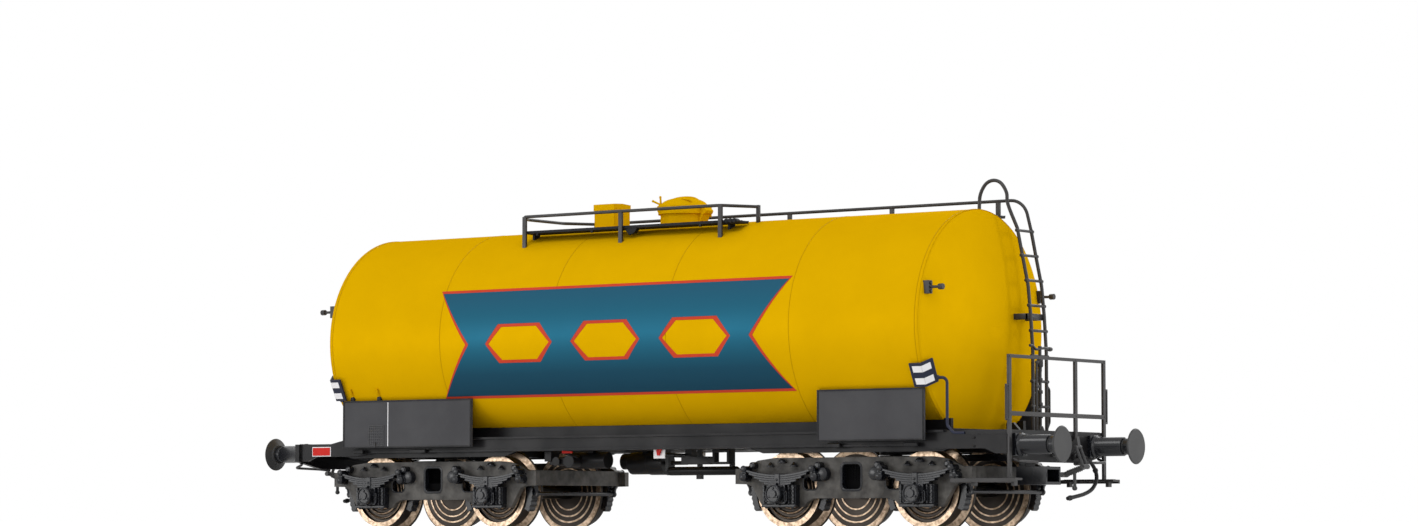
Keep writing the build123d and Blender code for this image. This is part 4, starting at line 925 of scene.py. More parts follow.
@dataclass
class Tank:
    """What the tank carries: weld seams, rim beads, the painted band and small lugs."""

    car: Car
    radius: float = TANK_RADIUS
    axis_z: float = TANK_AXIS_Z
    facets: int = 180
    sink: float = 0.02
    left: float = -54.135
    right: float = 51.995
    seams: tuple[float, ...] = (-32.58, -11.61, 9.43, 30.78)
    seam_width: float = 0.1
    seam_height: float = 0.02
    bead_width: float = 0.22
    bead_height: float = 0.05
    bead_out: float = 0.1
    joint_in: float = 0.32
    joint_half: float = 0.06
    band_x: Flat = (-33.0, 30.0)
    band_level: float = -1.0
    band_half: float = 8.0
    band_fork: float = 6.0
    window_x: tuple[float, ...] = (-17.5, -1.5, 14.5)
    window_half: float = 6.3
    window_tip: float = 2.4
    window_rise: float = 2.9
    edging: float = 0.45
    paint_lift: float = 0.026
    band_slice: float = 0.4
    lug_x: Flat = (-51.5, -46.2)

    def _hoop(self, shape: Shape, x: float, half: float) -> None:
        """Adds a low flat strip round the tank.

        Args:
            shape: where it is added.
            x: its place along the tank.
            half: half of its width.
        """
        foot = self.radius - self.sink
        top = self.radius + self.seam_height
        shape.turned([(-half, foot), (-half, top), (half, top), (half, foot)], (x, 0.0, self.axis_z), AHEAD,
                     self.facets)

    def weld_seams(self) -> None:
        """Thin lines round the tank where its courses meet."""
        shape = Shape()
        for x in self.seams:
            self._hoop(shape, x, self.seam_width / 2)
        self.car.fit(shape, "weld_seams", Slot.TANK, Paint.SEAM, smooth=HOOP_SMOOTH)

    def rim_beads(self) -> None:
        """A rounded bead with a dark joint line where each end is joined to the barrel."""
        bead = Shape()
        line = Shape()
        half = self.bead_width / 2
        foot = self.radius - 0.03
        top = self.radius + self.bead_height
        shoulder = top - 0.02
        outline = [(-half, foot), (-half * 0.7, shoulder), (0.0, top), (half * 0.7, shoulder), (half, foot)]
        for rim, side in ((self.left, -1), (self.right, 1)):
            bead.turned(outline, (rim + side * self.bead_out, 0.0, self.axis_z), AHEAD, self.facets)
            self._hoop(line, rim - side * self.joint_in, self.joint_half)
        self.car.fit(bead, "rim_beads", Slot.TANK, smooth=HOOP_SMOOTH)
        self.car.fit(line, "rim_lines", Slot.TANK, Paint.SEAM, smooth=HOOP_SMOOTH)

    def _outlines(self, grow: float) -> list[list[Flat]]:
        """The band's outline and its windows, as (x, arc over the axis level).

        Args:
            grow: how far every edge moves out into the yellow.

        Returns:
            The outer outline first, then each window.
        """
        left, right = self.band_x[0] - grow, self.band_x[1] + grow
        top = self.band_level + self.band_half + grow
        low = self.band_level - self.band_half - grow
        fork = self.band_fork - grow * 0.4
        middle = self.band_level
        outer = [(left, low), (left + fork, middle), (left, top),
                 (right, top), (right - fork, middle), (right, low)]
        half = self.window_half - grow * 1.4
        rise = self.window_rise - grow
        tip = self.window_tip
        windows = []
        for x in self.window_x:
            start, end = x - half, x + half
            windows.append([(start, middle), (start + tip, middle + rise), (end - tip, middle + rise),
                            (end, middle), (end - tip, middle - rise), (start + tip, middle - rise)])
        return [outer, *windows]

    def _painted(self, grow: float, lift: float) -> Shape:
        """The band as a thin curved layer on both sides of the tank.

        Args:
            grow: how far its edges are moved out.
            lift: how high it stands over the tank.

        Returns:
            The shape, both sides.
        """
        shape = Shape()
        edges = []
        for loop in self._outlines(grow):
            verts = [shape.mesh.verts.new((x, s, 0.0)) for x, s in loop]
            edges += [shape.mesh.edges.new((a, b)) for a, b in zip(verts, verts[1:] + verts[:1])]
        bmesh.ops.triangle_fill(shape.mesh, use_beauty=True, use_dissolve=False, edges=edges)
        level = self.band_level - self.band_half - grow
        while level < self.band_level + self.band_half + grow:
            level += self.band_slice
            geom = shape.mesh.verts[:] + shape.mesh.edges[:] + shape.mesh.faces[:]
            bmesh.ops.bisect_plane(shape.mesh, geom=geom, plane_co=(0.0, level, 0.0),
                                   plane_no=ACROSS)
        made = bmesh.ops.extrude_face_region(shape.mesh, geom=shape.mesh.faces[:])["geom"]
        outside = {item for item in made if isinstance(item, bmesh.types.BMVert)}
        for vert in shape.mesh.verts:
            angle = vert.co.y / self.radius
            reach = self.radius + (lift if vert in outside else -self.sink)
            vert.co = Vector((vert.co.x, -reach * math.cos(angle), self.axis_z + reach * math.sin(angle)))
        shape.copy(HALF_TURN)
        return shape

    def painted_band(self) -> None:
        """The teal band with its windows, on a red layer that shows as its edging."""
        red = self._painted(self.edging, self.paint_lift)
        self.car.fit(red, "band_edging", Slot.TANK, Paint.EDGING)
        teal = self._painted(0.0, 2 * self.paint_lift)
        self.car.fit(teal, "band_paint", Slot.TANK, Paint.TEAL)

    def lugs(self) -> None:
        """Small upright lugs on the tank above each long board, with their dark feet and a painted shadow to
        their lower left.
        """
        lug = Shape()
        foot = Shape()
        for x in self.lug_x:
            lug.tube([(x, -14.25, 20.9), (x, -14.72, 21.3), (x, -15.02, 21.9)], 0.2)
            # The wide low box, set off to the left, is a painted shadow under each lug; the narrow upright
            # one is its dark foot.
            foot.box((x - 0.55, -14.3, 20.21), (x + 0.25, -13.95, 20.75), 0.08)
            foot.box((x - 0.16, -14.4, 20.21), (x + 0.16, -14.1, 21.1), 0.04)
        lug.copy(HALF_TURN)
        foot.copy(HALF_TURN)
        self.car.fit(lug, "tank_lugs", Slot.TANK)
        self.car.fit(foot, "lug_feet_and_painted_shadows", Slot.FRAME)

    def build(self) -> None:
        """Makes all of the tank's trim."""
        self.weld_seams()
        self.rim_beads()
        self.painted_band()
        self.lugs()


@dataclass
class Roof:
    """The roof's rail, the gridded walkway with its brackets, the domed lid and the valve box's fittings."""

    car: Car
    rail_z: float = 47.4
    near: float = 9.05
    far: float = 8.6
    first: float = -22.26
    pitch: float = 18.03
    bow: float = 3.0
    rail_radius: float = 0.24
    post_width: float = 0.65
    walkway_top: float = 45.25
    walkway_x: Flat = (-22.8, 16.2)
    plank_end: float = 51.195
    plank_inner: float = 5.3
    lid_x: float = 0.7
    lid_z: float = 48.0
    lid_radius: float = 3.9
    crown: float = 1.78
    box_x: Flat = (-14.68, -10.72)
    box_rivet_z: float = 48.62

    def _surface(self, y: float) -> float:
        """Height of the tank's top at a distance from the middle."""
        return TANK_AXIS_Z + math.sqrt(TANK_RADIUS ** 2 - y ** 2)

    def _posts(self) -> list[tuple[float, int]]:
        """The place and the side of each post, five on the far side and then three on the near one."""
        rows = ((1, 5), (-1, 3))
        return [(self.first + self.pitch * i, side) for side, count in rows for i in range(count)]

    def rail(self) -> None:
        """The bent rail round the walkway and on to the ladder, and its flat posts with chamfered feet."""
        gate = self.first + 2 * self.pitch + self.bow
        z = self.rail_z
        bow = self.first - self.bow
        loop = [(gate, -3.8, z), (gate - self.bow, -self.near, z), (self.first, -self.near, z),
                (bow, -self.near / 2, z), (bow, self.far / 2, z), (self.first, self.far, z),
                (54.13, self.far, z), (55.25, self.far, 43.1)]
        shape = Shape()
        path = rounded(loop[:-2], 0.9) + rounded(loop[-3:], 3.0, 10)[1:]
        shape.tube(path, self.rail_radius, 12)
        half = self.post_width / 2
        for x, side in self._posts():
            y = self.far if side > 0 else -self.near
            out = 0.18 * side
            foot = self._surface(y)
            flat = [(-half, z), (-half, foot - 0.45), (-half * 0.6, foot - 0.72), (half * 0.6, foot - 0.72),
                    (half, foot - 0.45), (half, z)]
            shape.prism([(x + dx, y - out, height) for dx, height in flat], (0.0, 2 * out, 0.0))
        shape.box((gate - 0.26, -4.06, self._surface(3.8) - 0.5), (gate + 0.26, -3.54, z + 0.25), 0.06)
        piece = self.car.fit(shape, "roof_rail", Slot.RAIL, smooth=BAR_SMOOTH)
        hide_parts("roof_railing")

    def walkway(self) -> None:
        """Two gridded planks on brackets, and the near one's half-round plate, hooks and ribbed end block."""
        shape = Shape()
        z = self.walkway_top
        planks = ((-8.8, -self.plank_inner, *self.walkway_x),
                  (self.plank_inner, 8.38, self.walkway_x[0], self.plank_end))
        for low, high, start, end in planks:
            shape.box((start, low, z - 0.4), (end, high, z - 0.06), 0.06)
            x = start + 0.2
            while x < end - 0.2:
                shape.box((x, low, z - 0.1), (x + 0.16, high, z))
                x += 0.5
            for y in (low, (low + high) / 2 - 0.06, high - 0.12):
                shape.box((start, y, z - 0.1), (end, y + 0.12, z + 0.02))
        outer, inner = 6.9, self.plank_inner + 0.3
        for x, side in self._posts():
            flat = [(outer, z - 0.3), (outer, self._surface(outer) - 0.2),
                    (inner, self._surface(inner) - 0.2), (inner, z - 0.3)]
            shape.prism([(x - 0.2, side * y, height) for y, height in flat], (0.4, 0.0, 0.0))
        disc = [(-1.1, 0.0), (-0.98, -0.42), (-0.66, -0.76), (-0.22, -0.9), (0.22, -0.84), (0.62, -0.6),
                (0.92, -0.2), (1.0, 0.0)]
        shape.prism([(-2.55 + dx, -8.7, 44.9 + dz) for dx, dz in disc], (0.0, 0.8, 0.0))
        for x in (-20.2, -9.9, 9.9):
            shape.box((x - 0.2, -8.75, 44.5), (x + 0.2, -8.4, 44.9), 0.06)
        shape.box((14.0, -8.95, 44.72), (16.5, -7.6, 45.4), 0.26)
        for x in (14.5, 15.2, 15.9):
            shape.box((x, -9.0, 44.8), (x + 0.3, -7.8, 45.46), 0.1)
        piece = self.car.fit(shape, "walkway", Slot.WALKWAY)
        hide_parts("roof_walkway")

    def lid(self) -> None:
        """The domed lid with its rib, low handle, two-armed knob, clamp and swing bolts."""
        shape = Shape()
        x, rim, crown = self.lid_x, self.lid_z, self.crown
        dome = [(0.0, 0.0), (0.0, 3.95), (0.12, 4.02), (0.42, 4.02), (0.52, 3.9), (0.56, 3.62)]
        for i in range(1, 8):
            angle = math.pi / 2 * i / 8
            dome.append((0.5 + (crown - 0.5) * math.sin(angle), 3.5 * math.cos(angle)))
        dome.append((crown, 0.0))
        shape.turned(dome, (x, 0.0, rim), UP, 64)
        arch = [(-3.3, 0.7), (-2.2, 1.5), (-0.9, crown), (0.9, crown), (2.2, 1.5), (3.3, 0.7)]
        shape.tube(flowing([(x + dx, 0.0, rim + dz) for dx, dz in arch], 5), 0.16, 8)
        handle = [(1.2, -1.9, 1.1), (1.3, -2.35, 1.45), (2.7, -2.2, 1.2), (2.7, -1.8, 0.8)]
        shape.tube(rounded([(x + dx, y, rim + dz) for dx, y, dz in handle], 0.3), 0.13, 8)
        knob = Vector((x - 3.1, -1.6, rim + 0.75))
        shape.tube([knob - Vector((0.0, 0.0, 1.3)), knob + Vector((0.0, 0.0, 0.1))], 0.34, 12)
        shape.tube([knob + Vector((0.0, 0.4, -0.9)), knob + Vector((0.0, -0.5, -0.9))], 0.3, 10)
        ball = [(-0.2, 0.0), (-0.14, 0.14), (0.0, 0.2), (0.14, 0.14), (0.2, 0.0)]
        for arm in (Vector((-1.45, 0.0, 0.62)), Vector((-0.1, 0.0, 1.15))):
            shape.tube([knob, knob + arm], 0.15, 8)
            shape.turned(ball, tuple(knob + arm), tuple(arm), 10)
        clamp = [(3.55, 0.55), (4.3, 0.1), (4.72, -0.35), (4.55, -0.75), (4.05, -0.95), (3.7, -1.9),
                 (3.3, -1.9), (3.3, 0.55)]
        shape.prism([(x + dx, -0.9, rim + dz) for dx, dz in clamp], (0.0, 1.8, 0.0))
        for degrees in (38.0, 75.0, 112.0, 150.0):
            angle = math.radians(degrees)
            spot = (x + self.lid_radius * math.cos(angle), self.lid_radius * math.sin(angle))
            shape.tube([(*spot, rim - 1.1), (*spot, rim + 0.6)], 0.2, 10)
            shape.bolt((*spot, rim + 0.4), UP, 0.34, 0.3)
        piece = self.car.fit(shape, "domed_lid", Slot.TANK)
        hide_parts("manhole_lid")

    def box_trim(self) -> None:
        """Rivets, a hasp and a hinge on the valve box."""
        shape = Shape()
        back, front = self.box_x
        for y in (-1.5, -0.5, 0.5, 1.5):
            shape.bolt((front, y, self.box_rivet_z), AHEAD, 0.12, 0.06, 10)
            shape.bolt((back, y, self.box_rivet_z), (-1.0, 0.0, 0.0), 0.12, 0.06, 10)
        shape.box((-10.82, -0.3, 47.8), (-10.66, 0.3, 48.6), 0.05)
        shape.tube([(-14.4, 2.0, 48.3), (-11.0, 2.0, 48.3)], 0.14, 8)
        self.car.fit(shape, "box_trim", Slot.TANK)

    def build(self) -> None:
        """Makes all of the roof's trim."""
        self.rail()
        self.walkway()
        self.lid()
        self.box_trim()


@dataclass
class Ladder:
    """The ladder on the tank's end, with round bars and smooth bends."""

    car: Car
    near: float = 4.9
    far: float = 8.6
    bar: float = 0.26
    rung: float = 0.2
    line: tuple[Flat, ...] = ((57.65, 14.3), (57.65, 25.7), (57.35, 30.7), (56.95, 35.0), (56.1, 39.0),
                              (55.25, 43.1))
    hoop: tuple[Flat, ...] = ((53.745, 46.5), (53.5, 48.2), (52.6, 49.6), (51.35, 50.05), (50.1, 49.6),
                              (49.2, 48.2), (49.0, 46.6), (48.99, 44.45))
    top: float = 43.1
    pitch: float = 3.55
    rungs: int = 8
    stay_z: Flat = (30.18, 31.03)

    def _x(self, z: float) -> float:
        """Where the ladder's line stands.

        Args:
            z: the height.

        Returns:
            The place along the car at that height.
        """
        for (x0, z0), (x1, z1) in zip(self.line, self.line[1:]):
            if z <= z1:
                return x0 + (x1 - x0) * (z - z0) / (z1 - z0)
        return self.line[-1][0]

    def build(self) -> None:
        """Makes the ladder and hides the solid that it replaces."""
        shape = Shape()
        near = rounded([(x, self.near, z) for x, z in self.line], 8.0)
        hoop = flowing([(x, self.near, z) for x, z in (self.line[-1], *self.hoop)], 6)
        shape.tube(near + hoop[1:], self.bar, 12)
        shape.tube(rounded([(x, self.far, z) for x, z in self.line], 8.0), self.bar, 12)
        for i in range(self.rungs):
            z = self.top - 0.3 - self.pitch * i
            x = self._x(z)
            shape.tube([(x, self.near, z), (x, self.far + 0.36, z)], self.rung, 10)
            for y, way in ((self.far + 0.22, 1.0), (self.near - 0.22, -1.0)):
                shape.bolt((x, y, z), (0.0, way, 0.0), 0.27, 0.2, 10)
        foot = self.line[0][0]
        grab = [(0.0, 21.0), (0.8, 20.4), (0.8, 15.8), (0.0, 14.7)]
        shape.tube(rounded([(foot, self.far + dy, z) for dy, z in grab], 0.5), 0.17, 8)
        x = self._x(30.6) - self.bar
        low, high = self.stay_z
        shape.box((x - 0.4, self.near - 0.35, low), (x + 0.13, self.far + 0.35, high), 0.05)
        for y in (self.near - 0.35, self.far - 0.05):
            shape.box((53.3, y, low), (x, y + 0.4, high), 0.05)
        for y in (self.near, self.far):
            shape.box((foot - 0.45, y - 0.4, 14.28), (foot + 0.45, y + 0.4, 14.6), 0.06)
        piece = self.car.fit(shape, "ladder", Slot.RAIL, smooth=BAR_SMOOTH)
        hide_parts("end_ladder")


@dataclass
class Platform:
    """The platform's deck and step grid, railing rivets and handbrake."""

    car: Car
    deck_top: float = 14.3
    deck_x: Flat = (57.0, BEAM_FACE)
    deck_half: float = 12.6
    post_x: float = 60.3
    post_y: float = 2.4
    crank_z: float = 25.9
    rivet_x: float = 64.64
    outer_post: float = 12.72
    step_top: float = 7.7
    step_x: float = 58.15

    def deck(self) -> None:
        """Fine raised bars over the deck, and over the steps."""
        shape = Shape()
        y = -self.deck_half + 0.25
        start, end = self.deck_x
        while y < self.deck_half - 0.2:
            shape.box((start + 0.15, y, self.deck_top - 0.05), (end - 0.2, y + 0.15, self.deck_top + 0.05))
            y += 0.5
        for side in SIDES:
            for i in range(16):
                x = self.step_x + 0.5 * i
                low, high = sorted((side * 12.4, side * 13.7))
                shape.box((x, low, self.step_top), (x + 0.15, high, self.step_top + 0.1))
        self.car.fit(shape, "deck_grid", Slot.DECK)

    def rivets(self) -> None:
        """Rivets where the railing's bars cross its posts, and bolts down its outer posts."""
        shape = Shape()
        for y in (-self.outer_post, 4.9, self.outer_post):
            for z in (24.2, 16.5):
                shape.bolt((self.rivet_x, y, z), AHEAD, 0.14, 0.06, 10)
        for y in (-self.outer_post, self.outer_post):
            for z in (13.2, 11.8, 8.2):
                shape.bolt((self.rivet_x, y, z), AHEAD, 0.16, 0.08)
        self.car.fit(shape, "railing_rivets", Slot.RAIL)

    def handbrake(self) -> None:
        """The spindle with its collars, bearing and guard, and the bent two-armed crank."""
        shape = Shape()
        x, y, top = self.post_x, self.post_y, self.crank_z
        shape.tube([(x, y, self.deck_top), (x, y, top)], 0.24, 12)
        shape.solid([(0.0, 0.6), (0.25, 0.6), (0.8, 0.38)], (x, y, self.deck_top),
                     UP, 16)
        shape.solid([(0.0, 0.36), (0.15, 0.45), (1.15, 0.45), (1.3, 0.36)],
                     (x, y, top - 2.6), UP, 16)
        for z in (16.2, 17.9, 19.6, 21.3):
            shape.solid([(0.0, 0.34), (0.1, 0.38), (0.4, 0.38), (0.5, 0.34)], (x, y, z),
                         UP, 12)
        guard = y - 0.9
        shape.tube([(x, guard, self.deck_top), (x, guard, top - 1.7)], 0.2, 10)
        for z in (17.2, 20.4, top - 2.15):
            shape.box((x - 0.2, guard - 0.2, z), (x + 0.2, y, z + 0.4), 0.08)
        crank = [(-2.7, 0.35), (-2.0, 0.32), (-1.1, -0.12), (0.0, -0.02), (1.2, 0.1), (2.0, 0.02),
                 (3.05, 0.0)]
        shape.tube(flowing([(x, y + dy, top + dz) for dy, dz in crank], 5), 0.2, 10)
        shape.solid([(0.0, 0.26), (0.2, 0.32), (0.6, 0.32), (0.8, 0.26)],
                     (x, y + 2.3, top), ACROSS, 12)
        shape.bolt((x, y, top + 0.1), UP, 0.3, 0.25)
        piece = self.car.fit(shape, "brake_column", Slot.RAIL, smooth=BAR_SMOOTH)
        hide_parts("handbrake")

    def build(self) -> None:
        """Makes all of the platform's trim."""
        self.deck()
        self.rivets()
        self.handbrake()


@dataclass
class Ends:
    """What both ends carry: buffer sleeves and bolts, the coupling's thread, grips, hoses and lamp bolts."""

    car: Car
    face: float = BEAM_FACE
    buffer_y: float = 10.06
    buffer_z: float = 12.3
    hook_z: float = 12.1
    hose_x: float = 65.9

    def buffers(self) -> None:
        """Straight sleeves with a gap before the stem, and bolted plates."""
        shape = Shape()
        centre = (self.face, self.buffer_y, self.buffer_z)
        sleeve = [(0.3, 1.1), (0.3, 1.62), (0.62, 1.62), (0.8, 1.42), (0.95, 1.33), (4.9, 1.33), (5.0, 1.26),
                  (5.0, 1.04), (4.8, 0.9), (0.5, 0.9)]
        shape.turned(sleeve, centre, AHEAD, 40)
        stem = [(5.28, 0.9), (5.28, 1.1), (5.36, 1.16), (6.1, 1.16), (6.2, 1.3), (6.3, 1.3), (6.3, 0.9)]
        shape.turned(stem, centre, AHEAD, 40)
        for y, z in around((self.buffer_y, self.buffer_z), 1.42, 22.5, 8):
            shape.bolt((self.face + 0.4, y, z), AHEAD, 0.17, 0.34)
        shape.copy(FLIP_Y)
        shape.copy(FLIP_X)
        self.car.fit(shape, "buffer_sleeves", Slot.FRAME, Slot.BOGIE)

    def drawgear(self) -> None:
        """Bolts on the hook's plate, the screw's thread and a ball on its handle."""
        shape = Shape()
        for dy in (-1.05, 1.05):
            for dz in (-1.05, 1.05):
                shape.bolt((self.face + 0.35, dy, self.hook_z + dz), AHEAD, 0.2, 0.18)
        low = Vector((68.8, 0.0, 9.4))
        back = Vector((65.5, 0.0, 8.3))
        way = (back - low).normalized()
        for i in range(8):
            spot = low + way * (0.6 + 0.3 * i)
            shape.turned([(0.0, 0.3), (0.08, 0.45), (0.16, 0.3)], tuple(spot), tuple(way), 12)
        middle = (low + back) / 2
        end = middle - Vector((0.0, 0.0, 2.4))
        shape.turned([(-0.35, 0.0), (-0.25, 0.28), (0.0, 0.38), (0.25, 0.28), (0.35, 0.0)], tuple(end),
                     UP, 12)
        shape.copy(HALF_TURN)
        self.car.fit(shape, "coupling_detail", Slot.BUFFER)

    def grips(self) -> None:
        """Bent wire handles under the corners of the headstocks."""
        shape = Shape()
        points = [(63.9, 12.0, 10.81), (63.95, 12.0, 10.6), (65.2, 12.0, 10.12), (65.2, 6.5, 9.98),
                  (63.9, 5.6, 9.8), (63.9, 5.6, 10.05)]
        shape.tube(rounded(points, 0.5), 0.19, 10)
        shape.copy(FLIP_Y)
        shape.copy(FLIP_X)
        piece = self.car.fit(shape, "corner_grips", Slot.RAIL, smooth=BAR_SMOOTH)
        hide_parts("shunter_grips")

    def hoses(self) -> None:
        """The stiff moulded hoses with their nuts, clips and heads."""
        shape = Shape()
        x = self.hose_x
        hanging = [(5.2, 10.6), (6.6, 10.05), (7.9, 8.85), (8.1, 7.65), (7.0, 6.45), (5.0, 5.75), (2.6, 5.35),
                   (0.2, 5.05)]
        points = [(self.face, 4.6, 10.8), (x - 0.4, 4.62, 10.8), *((x, y, z) for y, z in hanging)]
        shape.tube(flowing(points, 6), 0.28, 12)
        shape.solid([(0.0, 0.46), (0.35, 0.46), (0.45, 0.36)], (self.face, 4.6, 10.8),
                     AHEAD, 6)
        shape.solid([(0.0, 0.38), (0.3, 0.38), (0.4, 0.3)], (x, 7.75, 9.1),
                     (0.0, 0.5, -0.8), 12)
        shape.solid([(0.0, 0.36), (0.4, 0.38), (0.9, 0.22)], (x, 1.1, 5.15),
                     (0.0, -1.0, -0.13), 12)
        shape.copy(FLIP_X)
        piece = self.car.fit(shape, "moulded_hoses", Slot.FRAME, smooth=BAR_SMOOTH)
        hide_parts("brake_hoses")

    def lamp_irons(self) -> None:
        """Bolt heads on the lamp brackets' lugs."""
        shape = Shape()
        for dz in (-0.55, 0.55):
            shape.bolt((53.29, 14.8, 33.9 + dz), AHEAD, 0.26, 0.2)
        shape.copy(FLIP_Y)
        shape.copy(Matrix.Translation((-2.14, 0.0, 0.0)) @ FLIP_X)
        self.car.fit(shape, "bracket_bolts", Slot.RAIL)

    def build(self) -> None:
        """Makes the trim of both ends."""
        self.buffers()
        self.drawgear()
        self.grips()
        self.hoses()
        self.lamp_irons()


@dataclass
class Sides:
    """What the car's sides carry: board frames, marker boards, plates, levers and the solebars' fixings."""

    car: Car
    board_y: float = 14.34
    board_z: Flat = (13.0, 20.2)
    long_x: Flat = (-53.4, -28.15)
    short_x: Flat = (34.2, 51.8)
    marker_y: float = 15.16
    marker_z: float = 21.93
    marker_half: float = 1.75
    stripe_lift: float = 0.03
    frame: float = 0.2
    proud: float = 0.1
    mesh_pitch: float = 0.42

    def _frame(self, shape: Shape, x: Flat, z: Flat, y: float, width: float) -> None:
        """Adds four thin strips round a rectangle on the near side.

        Args:
            shape: where they are added.
            x: the rectangle's start and end along the car.
            z: its lower and upper edge.
            y: how far out its face lies.
            width: the strips' width.
        """
        out, back = -(y + self.proud), -(y - 0.02)
        shape.box((x[0], out, z[1] - width), (x[1], back, z[1]))
        shape.box((x[0], out, z[0]), (x[1], back, z[0] + width))
        shape.box((x[0], out, z[0] + width), (x[0] + width, back, z[1] - width))
        shape.box((x[1] - width, out, z[0] + width), (x[1], back, z[1] - width))

    def boards(self) -> None:
        """Thin raised frames round the blank boards, and the mesh clip and white line on the long ones."""
        rim = Shape()
        for x in (self.long_x, self.short_x):
            self._frame(rim, x, self.board_z, self.board_y, self.frame)
        rim.copy(HALF_TURN)
        self.car.fit(rim, "board_frames", Slot.BOARD, Slot.FRAME)
        clip = Shape()
        x, z, y = (-48.3, -45.2), (13.25, 16.45), self.board_y
        self._frame(clip, x, z, y, 0.14)
        for i in range(7):
            low = z[0] + 0.3 + self.mesh_pitch * i
            clip.box((x[0] + 0.14, -(y + 0.07), low), (x[1] - 0.14, -y + 0.02, low + 0.12))
        for i in range(6):
            start = x[0] + 0.45 + self.mesh_pitch * i
            clip.box((start, -(y + 0.06), z[0] + 0.14), (start + 0.12, -y + 0.02, z[1] - 0.14))
        clip.tube([(-46.9, -14.5, 13.1), (-46.9, -14.5, 13.9)], 0.12, 8)
        clip.copy(HALF_TURN)
        self.car.fit(clip, "label_clips", Slot.BOARD, Paint.CLIP)
        line = Shape()
        line.box((-44.5, -(y + 0.04), 13.25), (-44.36, -y + 0.02, 19.9))
        line.copy(HALF_TURN)
        self.car.fit(line, "board_lines", Slot.BOARD, Paint.WHITE)

    def markers(self) -> None:
        """Folded marker boards with white stripes, on bent rods or on straps."""
        lean = math.asin((TANK_AXIS_Z - self.marker_z) / TANK_RADIUS)
        out = Vector((0.0, math.cos(lean), -math.sin(lean)))
        down = Vector((0.0, -math.sin(lean), -math.cos(lean)))
        fold = math.radians(62.0)
        board = Shape()
        stripes = Shape()
        for rim, side, rods in ((52.295, 1, -1), (-54.435, -1, 1)):
            origin = Vector((rim, self.marker_y, self.marker_z))
            along = Vector((float(side), 0.0, 0.0))
            turned = along * math.cos(fold) - out * math.sin(fold)
            face = along * math.sin(fold) + out * math.cos(fold)
            corner = origin + out * 0.25 + along * 0.25 * math.tan(fold / 2)
            back = origin - along * 1.8
            tip = origin + turned * 1.9
            section = [back, origin, tip, tip + face * 0.25, corner, back + out * 0.25]
            leaves = [tuple(point - down * self.marker_half) for point in section]
            height = tuple(down * 2 * self.marker_half)
            stand = Shape()
            stand.prism(leaves, height)
            tip = origin + turned * 1.85 + down * 1.2
            foot_x = rim + side * 2.1
            rod = [tuple(tip), (foot_x, 12.45, tip.z), (foot_x, 12.45, 15.0),
                   (foot_x + side * 1.1, 12.6, 14.0), (foot_x + side * 2.9, 12.6, 13.95)]
            stand.tube(rounded(rod, 0.75), 0.22, 10)
            stand.solid([(-0.3, 0.34), (0.3, 0.34)], tuple(tip), (float(side), 0.0, 0.0), 10)
            strap = Shape()
            strap.prism(leaves, height)
            strap.box((rim - side * 0.9 - 0.3, 14.25, 20.1), (rim - side * 0.9 + 0.3, 14.65, 21.6), 0.06)
            for source, hand in ((stand, rods), (strap, -rods)):
                if hand < 0:
                    bmesh.ops.transform(source.mesh, matrix=FLIP_Y, verts=source.mesh.verts[:])
                board.join(source)
            for low, high in ((-1.36, -0.42), (0.44, 1.38)):
                start, end = corner - along * 1.5, corner + turned * 1.5
                leaf = [start + down * low, corner + down * low, corner + down * high, start + down * high]
                lift = self.stripe_lift + 0.01
                stripes.prism([tuple(point - out * 0.01) for point in leaf], tuple(out * lift))
                leaf = [corner + down * low, end + down * low, end + down * high, corner + down * high]
                stripes.prism([tuple(point - face * 0.01) for point in leaf], tuple(face * lift))
        piece = self.car.fit(board, "marker_stands", Slot.MARKER)
        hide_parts("marker_boards")
        stripes.copy(FLIP_Y)
        self.car.fit(stripes, "marker_stripes", Slot.MARKER, Paint.WHITE)

    def plates(self) -> None:
        """The red plate with its white edge, and the white plate under each side."""
        red = Shape()
        red.box((-61.0, -12.82, 11.98), (-57.45, -12.68, 13.2), 0.03)
        red.copy(HALF_TURN)
        self.car.fit(red, "red_plates", Slot.FRAME, Paint.RED)
        white = Shape()
        white.box((-61.12, -12.76, 11.86), (-57.33, -12.66, 13.32), 0.02)
        white.box((4.1, -12.15, 10.95), (6.15, -11.95, 12.25), 0.05)
        white.copy(HALF_TURN)
        self.car.fit(white, "white_plates", Slot.FRAME, Paint.WHITE)

    def levers(self) -> None:
        """Small red changeover levers under the solebars, and their dark spindles."""
        lever = Shape()
        right = [(5.0, 11.4), (5.35, 11.35), (5.75, 12.25), (5.3, 12.5), (4.85, 12.1)]
        left = [(-12.75, 12.1), (-12.5, 12.75), (-12.2, 12.7), (-12.15, 12.25), (-10.9, 12.15), (-10.9, 11.9),
                (-12.6, 11.85)]
        for outline, y, thick in ((right, -12.5, 0.25), (left, -12.1, 0.3)):
            lever.prism([(x, y, z) for x, z in outline], (0.0, thick, 0.0))
        lever.copy(HALF_TURN)
        self.car.fit(lever, "brake_levers", Slot.FRAME, Paint.RED)
        spindle = Shape()
        spindle.tube([(5.2, -12.4, 11.6), (5.2, -5.6, 11.6)], 0.18, 10)
        spindle.tube([(-12.4, -12.0, 12.0), (-12.4, -9.0, 11.4)], 0.18, 10)
        spindle.box((4.9, -12.0, 11.3), (5.5, -11.0, 12.3), 0.08)
        spindle.box((-12.7, -12.0, 11.7), (-12.1, -11.0, 12.3), 0.08)
        spindle.copy(HALF_TURN)
        self.car.fit(spindle, "lever_spindles", Slot.FRAME)

    def _pad(self, shape: Shape, start: float, end: float, side: int = -1) -> None:
        """Adds a block on the outside of a solebar.

        Args:
            shape: where it is added.
            start: its start along the car.
            end: its end along the car.
            side: the car's side, -1 for the near one.
        """
        low, high = sorted((side * 13.1, side * 13.75))
        shape.box((start, low, 12.15), (end, high, 12.75), 0.1)

